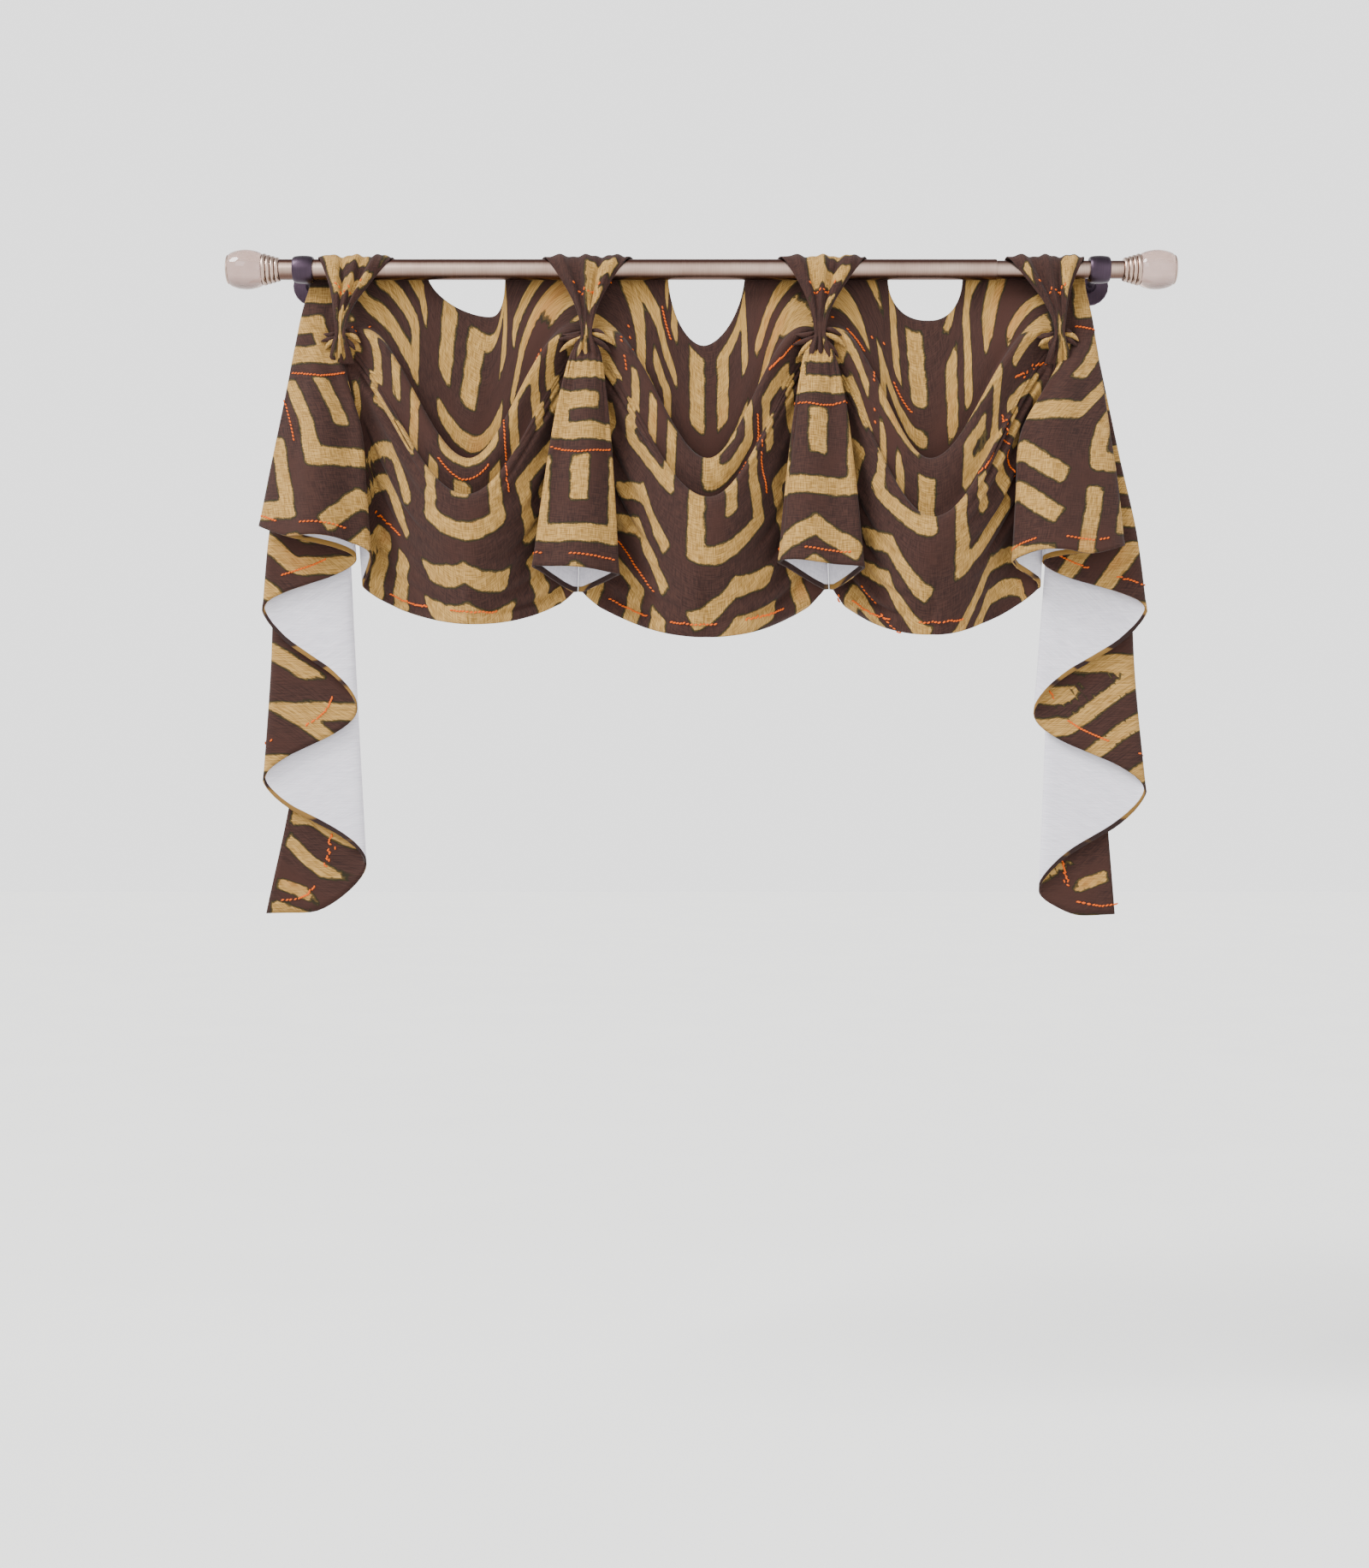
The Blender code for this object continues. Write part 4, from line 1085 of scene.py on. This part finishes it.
def build_cloth():
    """Face cloth, lining and tabs."""
    zones = surface_zones()
    for zone in zones:
        chart(zone)
        draw_bands(zone)
    points = weld(zones)
    for zone in zones:
        zone["quads"] = quads_of(zone["ids"])
    normals = point_normals(points, np.concatenate([zone["quads"] for zone in zones]))
    for zone in zones:
        zone["normals"] = normals[zone["ids"]]
        zone["outer"] = SHEET_GAP + FACE_T
    build_stitches("orange_stitches", zones, "face_cloth")
    hem = np.zeros(len(points))
    for zone in zones:
        zone["below"] = zone["b"][-1:] - zone["b"]
        hem[zone["ids"]] = ramp(HEM_ROLL_WIDTH - zone["below"], 0, 2)
    face = face_material()
    lining = lining_material()
    build_pinch_folds(face)
    for piece in ("tail_left", "swags", "tail_right"):
        parts = [zone for zone in zones if zone["piece"] == piece]
        quads = np.concatenate([zone["quads"] for zone in parts])
        flat = np.concatenate([corner_values(np.stack([zone["a"], zone["b"]], -1)) for zone in parts])
        band = np.concatenate([corner_values(zone["band"]) for zone in parts])
        front = shell(f"{piece}_face", points, normals, quads, flat, band, hem, SHEET_GAP, SHEET_GAP + FACE_T)
        gap = np.concatenate([corner_values(zone["below"]) for zone in parts])
        back = shell(
            f"{piece}_lining", points, normals, quads, flat, None, hem, -SHEET_GAP, -SHEET_GAP - LINING_T, gap
        )
        front.data.materials.append(face)
        back.data.materials.append(lining)
        keep(front, "face_cloth", "face_cloth")
        keep(back, "lining", "lining")
    for number, spec in enumerate(TAB_WIDTHS, 1):
        grid = tab_grid(spec)
        zone = {"name": f"tab_{number}", "grid": grid}
        chart(zone)
        draw_bands(zone)
        tab_points = weld([zone])
        quads = quads_of(zone["ids"])
        zone["normals"] = point_normals(tab_points, quads)[zone["ids"]]
        zone["outer"] = TAB_T / 2
        build_stitches(f"tab_stitches_{number}", [zone], "tab_cloth")
        flat = corner_values(np.stack([zone["a"], zone["b"]], -1))
        obj = shell(
            f"tab_cloth_{number}", tab_points, point_normals(tab_points, quads), quads, flat,
            corner_values(zone["band"]), np.zeros(len(tab_points)), -TAB_T / 2, TAB_T / 2,
        )
        obj.data.materials.append(face)
        keep(obj, "tab_cloth", f"tab_{number}")


def on_cloth(zone, place):
    """The point and the outward normal at a place of a zone's chart, or nothing where no front cloth lies there."""
    grid = zone["grid"]
    a, b = zone["a"], zone["b"]
    gap = (a - place[0]) ** 2 + (b - place[1]) ** 2
    row, column = np.unravel_index(np.argmin(gap), gap.shape)
    if gap[row, column] > CLOTH_REACH**2 or ("layers" in zone and zone["layers"][column] % 2):
        return None
    r = min(max(row, 1), grid.shape[0] - 2)
    c = min(max(column, 1), grid.shape[1] - 2)
    across = (grid[r, c + 1] - grid[r, c - 1]) / 2
    down = (grid[r + 1, c] - grid[r - 1, c]) / 2
    turn = np.array([
        [(a[r, c + 1] - a[r, c - 1]) / 2, (a[r + 1, c] - a[r - 1, c]) / 2],
        [(b[r, c + 1] - b[r, c - 1]) / 2, (b[r + 1, c] - b[r - 1, c]) / 2],
    ])
    share = np.linalg.lstsq(turn, np.array([place[0] - a[row, column], place[1] - b[row, column]]), rcond=None)[0]
    share = np.clip(share, -0.6, 0.6)
    return grid[row, column] + share[0] * across + share[1] * down, zone["normals"][row, column]


def bead(centre, along, normal):
    """The points and faces of one thread bead that lies on the cloth."""
    side = np.cross(normal, along)
    side /= np.linalg.norm(side)
    along = np.cross(side, normal)
    slanted = along * math.cos(BEAD_SLANT) + side * math.sin(BEAD_SLANT)
    across = np.cross(normal, slanted)
    points = [centre - slanted * BEAD[0]]
    for ring in range(1, BEAD_RINGS + 1):
        turn = math.pi * ring / (BEAD_RINGS + 1)
        for step in range(BEAD_SIDES):
            angle = math.tau * step / BEAD_SIDES
            out = across * math.cos(angle) * BEAD[1] + normal * math.sin(angle) * BEAD[2]
            points.append(centre - slanted * BEAD[0] * math.cos(turn) + out * math.sin(turn))
    points.append(centre + slanted * BEAD[0])
    faces = []
    for step in range(BEAD_SIDES):
        after = (step + 1) % BEAD_SIDES
        faces.append((0, 1 + after, 1 + step))
        last = 1 + (BEAD_RINGS - 1) * BEAD_SIDES
        faces.append((last + step, last + after, len(points) - 1))
        for ring in range(BEAD_RINGS - 1):
            start = 1 + ring * BEAD_SIDES
            faces.append((start + step, start + after, start + BEAD_SIDES + after, start + BEAD_SIDES + step))
    return points, faces


def hem_lines(zone):
    """The dashes of the stitch row along a zone's hem."""
    a = zone["a"][-1]
    b = zone["b"][-1] - HEM_INSET
    along = np.abs(a - a[0])
    lines = []
    start = HEM_GAP
    while start + HEM_DASH + HEM_GAP < along[-1]:
        spots = np.linspace(start, start + HEM_DASH, 4)
        lines.append([np.array([np.interp(spot, along, a), np.interp(spot, along, b)]) for spot in spots])
        start += HEM_DASH + HEM_GAP
    return lines


def stitch_lines(zone):
    """A zone's stitch lines in its chart."""
    if "piece" not in zone:
        return [np.array(TAB_STITCH, float)]
    lines = hem_lines(zone)
    for column, row, middle in zone["cells"]:
        lines.append(placed(CELL_STITCHES[(row + column) % len(CELL_STITCHES)], column, middle))
    return lines


def build_stitches(name, zones, slot):
    """The orange stitch lines of some zones as rows of beads in one mesh."""
    points = []
    faces = []
    for zone in zones:
        stretches = [pair for line in stitch_lines(zone) for pair in zip(line, line[1:])]
        for start, end in stretches:
            count = max(2, round(float(np.linalg.norm(end - start)) / BEAD_PITCH))
            spots = [on_cloth(zone, start + (end - start) * (k + 0.5) / count) for k in range(count)]
            spots = [spot for spot in spots if spot is not None]
            for k, (centre, normal) in enumerate(spots):
                along = spots[min(k + 1, len(spots) - 1)][0] - spots[max(k - 1, 0)][0]
                if not 0.5 < np.linalg.norm(along) < BEAD_SPREAD * BEAD_PITCH:
                    continue
                lift = zone["outer"] / MM + 0.2
                made, made_faces = bead(centre + normal * lift, along / np.linalg.norm(along), normal)
                faces += [tuple(i + len(points) for i in face) for face in made_faces]
                points += made
    data = bpy.data.meshes.new(name)
    data.from_pydata((np.array(points) * MM).tolist(), [], faces)
    data.shade_smooth()
    data.materials.append(stitch_material())
    obj = bpy.data.objects.new(name, data)
    bpy.context.scene.collection.objects.link(obj)
    obj.location = (0, ROD_Y, 0)
    return keep(obj, slot)


def build_pinch_folds(material):
    """Small twisted folds of the face cloth round each pinch, as one mesh."""
    points = []
    faces = []
    bands = []
    for pinch, spec in enumerate(PINCHES):
        for k, (angle, length, tan) in enumerate(PINCH_FOLDS):
            turn = math.radians(angle + 7 * math.sin(3.1 * pinch + k))
            way = np.array([math.sin(turn), 0.0, -math.cos(turn)])
            side = np.array([-way[2], 0.0, way[0]])
            outer_pinch = pinch in (0, 3)
            front_y = TAB_END_Y[pinch] + (-1 if outer_pinch else 3) - 2 * abs(math.cos(turn))
            for ring in range(PINCH_RINGS + 1):
                share = ring / PINCH_RINGS
                reach = PINCH_START + length * share * (0.7 if outer_pinch else 1.0)
                swell = math.sin(math.pi * min(max(share, 0.02), 0.98)) ** 0.7
                bend = 3.0 * math.sin(math.pi * share + k)
                depth = front_y + (0.5 if outer_pinch else 4) * share
                centre = np.array([spec["x"], depth, PINCH_Z]) + way * reach + side * bend
                for step in range(PINCH_SIDES):
                    around = math.tau * step / PINCH_SIDES
                    out = side * math.cos(around) * PINCH_FOLD[0] + np.array([0, -1, 0]) * math.sin(around) * PINCH_FOLD[1]
                    points.append(centre + out * swell)
                    bands.append(6.0 if tan else -20.0)
            start = len(points) - (PINCH_RINGS + 1) * PINCH_SIDES
            for ring in range(PINCH_RINGS):
                for step in range(PINCH_SIDES):
                    after = (step + 1) % PINCH_SIDES
                    low = start + ring * PINCH_SIDES
                    faces.append((low + step, low + after, low + PINCH_SIDES + after, low + PINCH_SIDES + step))
            faces.append(tuple(start + step for step in range(PINCH_SIDES))[::-1])
            faces.append(tuple(len(points) - PINCH_SIDES + step for step in range(PINCH_SIDES)))
    data = bpy.data.meshes.new("pinch_folds")
    data.from_pydata((np.array(points) * MM).tolist(), [], faces)
    data.uv_layers.new(name="flat")
    loops = np.array([loop.vertex_index for loop in data.loops])
    flat = np.array(points)[loops][:, [0, 2]] * MM
    data.uv_layers["flat"].data.foreach_set("uv", flat.astype(np.float32).ravel())
    values = np.array(bands, np.float32)[loops]
    data.attributes.new("band", "FLOAT", "CORNER").data.foreach_set("value", values)
    data.shade_smooth()
    data.materials.append(material)
    obj = bpy.data.objects.new("pinch_folds", data)
    bpy.context.scene.collection.objects.link(obj)
    obj.location = (0, ROD_Y, 0)
    return keep(obj, "face_cloth")


def mirrored(profile, start, out):
    """A profile that starts at a distance from the middle and runs outwards at one end."""
    return [(out * (start + x), radius) for x, radius in profile]


def rounded(start, end, radius, bevel, steps=4):
    """The outside of a cylinder with rounded edges, as (x, radius) points."""
    points = []
    for step in range(steps + 1):
        turn = math.pi / 2 * step / steps
        points.append((start + bevel * (1 - math.sin(turn)) , radius - bevel * (1 - math.cos(turn))))
    points = points[::-1]
    for step in range(steps + 1):
        turn = math.pi / 2 * step / steps
        points.append((end - bevel * (1 - math.sin(turn)), radius - bevel * (1 - math.cos(turn))))
    return points


def build_metal():
    """Tubes, finials and brackets."""
    metal = brushed_material("rod_metal", METAL_DARK, METAL_LIGHT, 0.3)
    # The tubes' metal has painted shade along their top and underside
    painted_shade = brushed_material("rod_metal_painted_shade", METAL_DARK, METAL_LIGHT, 0.3, painted_shade=True)
    dark = brushed_material("bracket_metal", BRACKET_DARK, BRACKET_LIGHT, 0.38)
    glass = glass_material()
    wall = 0.0011
    for name, start, end, diameter in (
        ("rod_outer_tube", -ROD_HALF, TUBE_JOINT_X, OUTER_TUBE_D),
        ("rod_inner_tube", TUBE_JOINT_X - 0.2, ROD_HALF, INNER_TUBE_D),
    ):
        r = diameter / 2
        edge = 0.0004
        profile = [(start, r - wall), (start, r - edge), (start + edge, r), (end - edge, r), (end, r - edge)]
        profile += [(end, r - wall), (start, r - wall)]
        keep(turned(name + "_brushed", profile, painted_shade), "rod_metal", name)
    for hand, out in (("left", -1), ("right", 1)):
        neck = []
        rings = 4
        pitch = NECK_LENGTH / rings
        for ring in range(rings):
            big = lerp(0.0150, 0.0195, ring / (rings - 1))
            small = big - 0.0025
            for step in range(7):
                turn = math.pi * step / 6
                neck.append((pitch * (ring + 0.5 - 0.5 * math.cos(turn)), small + 0.0025 * math.sin(turn) ** 0.7))
        profile = [(0, 0)] + neck + [(NECK_LENGTH, 0)]
        start = ROD_HALF + FIT
        keep(turned(f"neck_rings_{hand}", mirrored(profile, start, out), metal), "rod_metal", f"finial_neck_{hand}")
        start += NECK_LENGTH + FIT
        end_r = CAP_D / 2 + 0.001
        barrel = [(0.0, 0.0), (0.0, end_r - 0.002)]
        for step in range(25):
            share = step / 24
            bulge = max(0.0, math.sin(math.pi * share)) ** 0.7
            barrel.append((share * GLASS_LENGTH, lerp(end_r, GLASS_D / 2, bulge)))
        barrel += [(GLASS_LENGTH, end_r - 0.002), (GLASS_LENGTH, 0.0)]
        crystal = turned(f"crystal_{hand}", mirrored(barrel, start, out), glass)
        keep(crystal, "crystal", f"finial_glass_{hand}")
        start += GLASS_LENGTH + FIT
        cap = [(0, 0), (0, CAP_D / 2 - 0.0005), (0.0005, CAP_D / 2), (0.0018, CAP_D / 2)]
        cap += [(0.0028, CAP_D / 2 - 0.0015), (CAP_T, 0.012), (CAP_T, 0)]
        keep(turned(f"cap_{hand}", mirrored(cap, start, out), metal), "rod_metal", f"finial_cap_{hand}")
        bore = (OUTER_TUBE_D if out < 0 else INNER_TUBE_D) / 2 + FIT
        collar = [(COLLAR_X - COLLAR_WIDTH / 2, bore)]
        for step in range(17):
            share = step / 16
            bulge = math.sqrt(max(0.0, 1 - (2 * share - 1) ** 2))
            radius = lerp(COLLAR_D / 2 - 0.0022, COLLAR_D / 2, bulge)
            collar.append((COLLAR_X + (share - 0.5) * COLLAR_WIDTH, radius))
        collar += [(COLLAR_X + COLLAR_WIDTH / 2, bore), (COLLAR_X - COLLAR_WIDTH / 2, bore)]
        collar = turned(f"collar_{hand}", mirrored(collar, 0, out), dark)
        keep(collar, "bracket_metal", f"bracket_collar_{hand}")
        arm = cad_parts[f"bracket_arm_{hand}"]
        arm.data.materials.clear()
        arm.data.materials.append(dark)


def stage():
    """A pale floor, soft studio light and the camera."""
    floor_data = bpy.data.meshes.new("floor")
    half = 14.0
    corners = [(-half, -half, FLOOR_Z), (half, -half, FLOOR_Z), (half, half, FLOOR_Z), (-half, half, FLOOR_Z)]
    floor_data.from_pydata(corners, [], [(0, 1, 2, 3)])
    pale = Shader("pale_floor", 0.9)
    pale.colour(pale.mix(pale.noise(pale.place((3, 3, 3), "Object")), FLOOR_DARK, FLOOR_LIGHT))
    floor_data.materials.append(pale.material)
    floor = bpy.data.objects.new("floor", floor_data)
    bpy.context.scene.collection.objects.link(floor)
    world = bpy.data.worlds.new("studio")
    world.use_nodes = True
    tree = world.node_tree
    coordinates = tree.nodes.new("ShaderNodeTexCoord")
    parts = tree.nodes.new("ShaderNodeSeparateXYZ")
    level = tree.nodes.new("ShaderNodeMapRange")
    level.inputs["From Min"].default_value = SKY_LOW
    level.inputs["From Max"].default_value = SKY_HIGH
    level.inputs["To Min"].default_value = 1.0
    level.inputs["To Max"].default_value = SKY_GREY
    tree.links.new(coordinates.outputs["Generated"], parts.inputs[0])
    tree.links.new(parts.outputs["Z"], level.inputs["Value"])
    tree.links.new(level.outputs[0], tree.nodes["Background"].inputs["Color"])
    tree.nodes["Background"].inputs["Strength"].default_value = WORLD_STRENGTH
    bpy.context.scene.world = world
    sun = bpy.data.lights.new("sun", "SUN")
    sun.energy = SUN_POWER
    sun.angle = SUN_ANGLE
    sun_place = bpy.data.objects.new("sun", sun)
    sun_place.rotation_euler = SUN_TURN
    bpy.context.scene.collection.objects.link(sun_place)
    for name, place, size, power in LIGHTS:
        lamp = bpy.data.lights.new(name, "AREA")
        lamp.energy = power
        lamp.shape = "RECTANGLE"
        lamp.size, lamp.size_y = size
        obj = bpy.data.objects.new(name, lamp)
        obj.location = place
        aim = Vector(LIGHT_TARGET) - obj.location
        obj.rotation_euler = aim.to_track_quat("-Z", "Y").to_euler()
        bpy.context.scene.collection.objects.link(obj)
    camera = bpy.data.cameras.new("camera")
    camera.sensor_fit = "VERTICAL"
    camera.sensor_height = SENSOR
    camera.lens = SENSOR * CAMERA_DISTANCE / VIEW_HEIGHT
    camera.clip_start = 0.05
    obj = bpy.data.objects.new("camera", camera)
    obj.location = (CAMERA_X, ROD_Y - CAMERA_DISTANCE, CAMERA_Z)
    obj.rotation_euler = (math.pi / 2, 0, 0)
    bpy.context.scene.collection.objects.link(obj)
    bpy.context.scene.camera = obj


build_cloth()
build_metal()
stage()
bpy.context.view_layer.update()
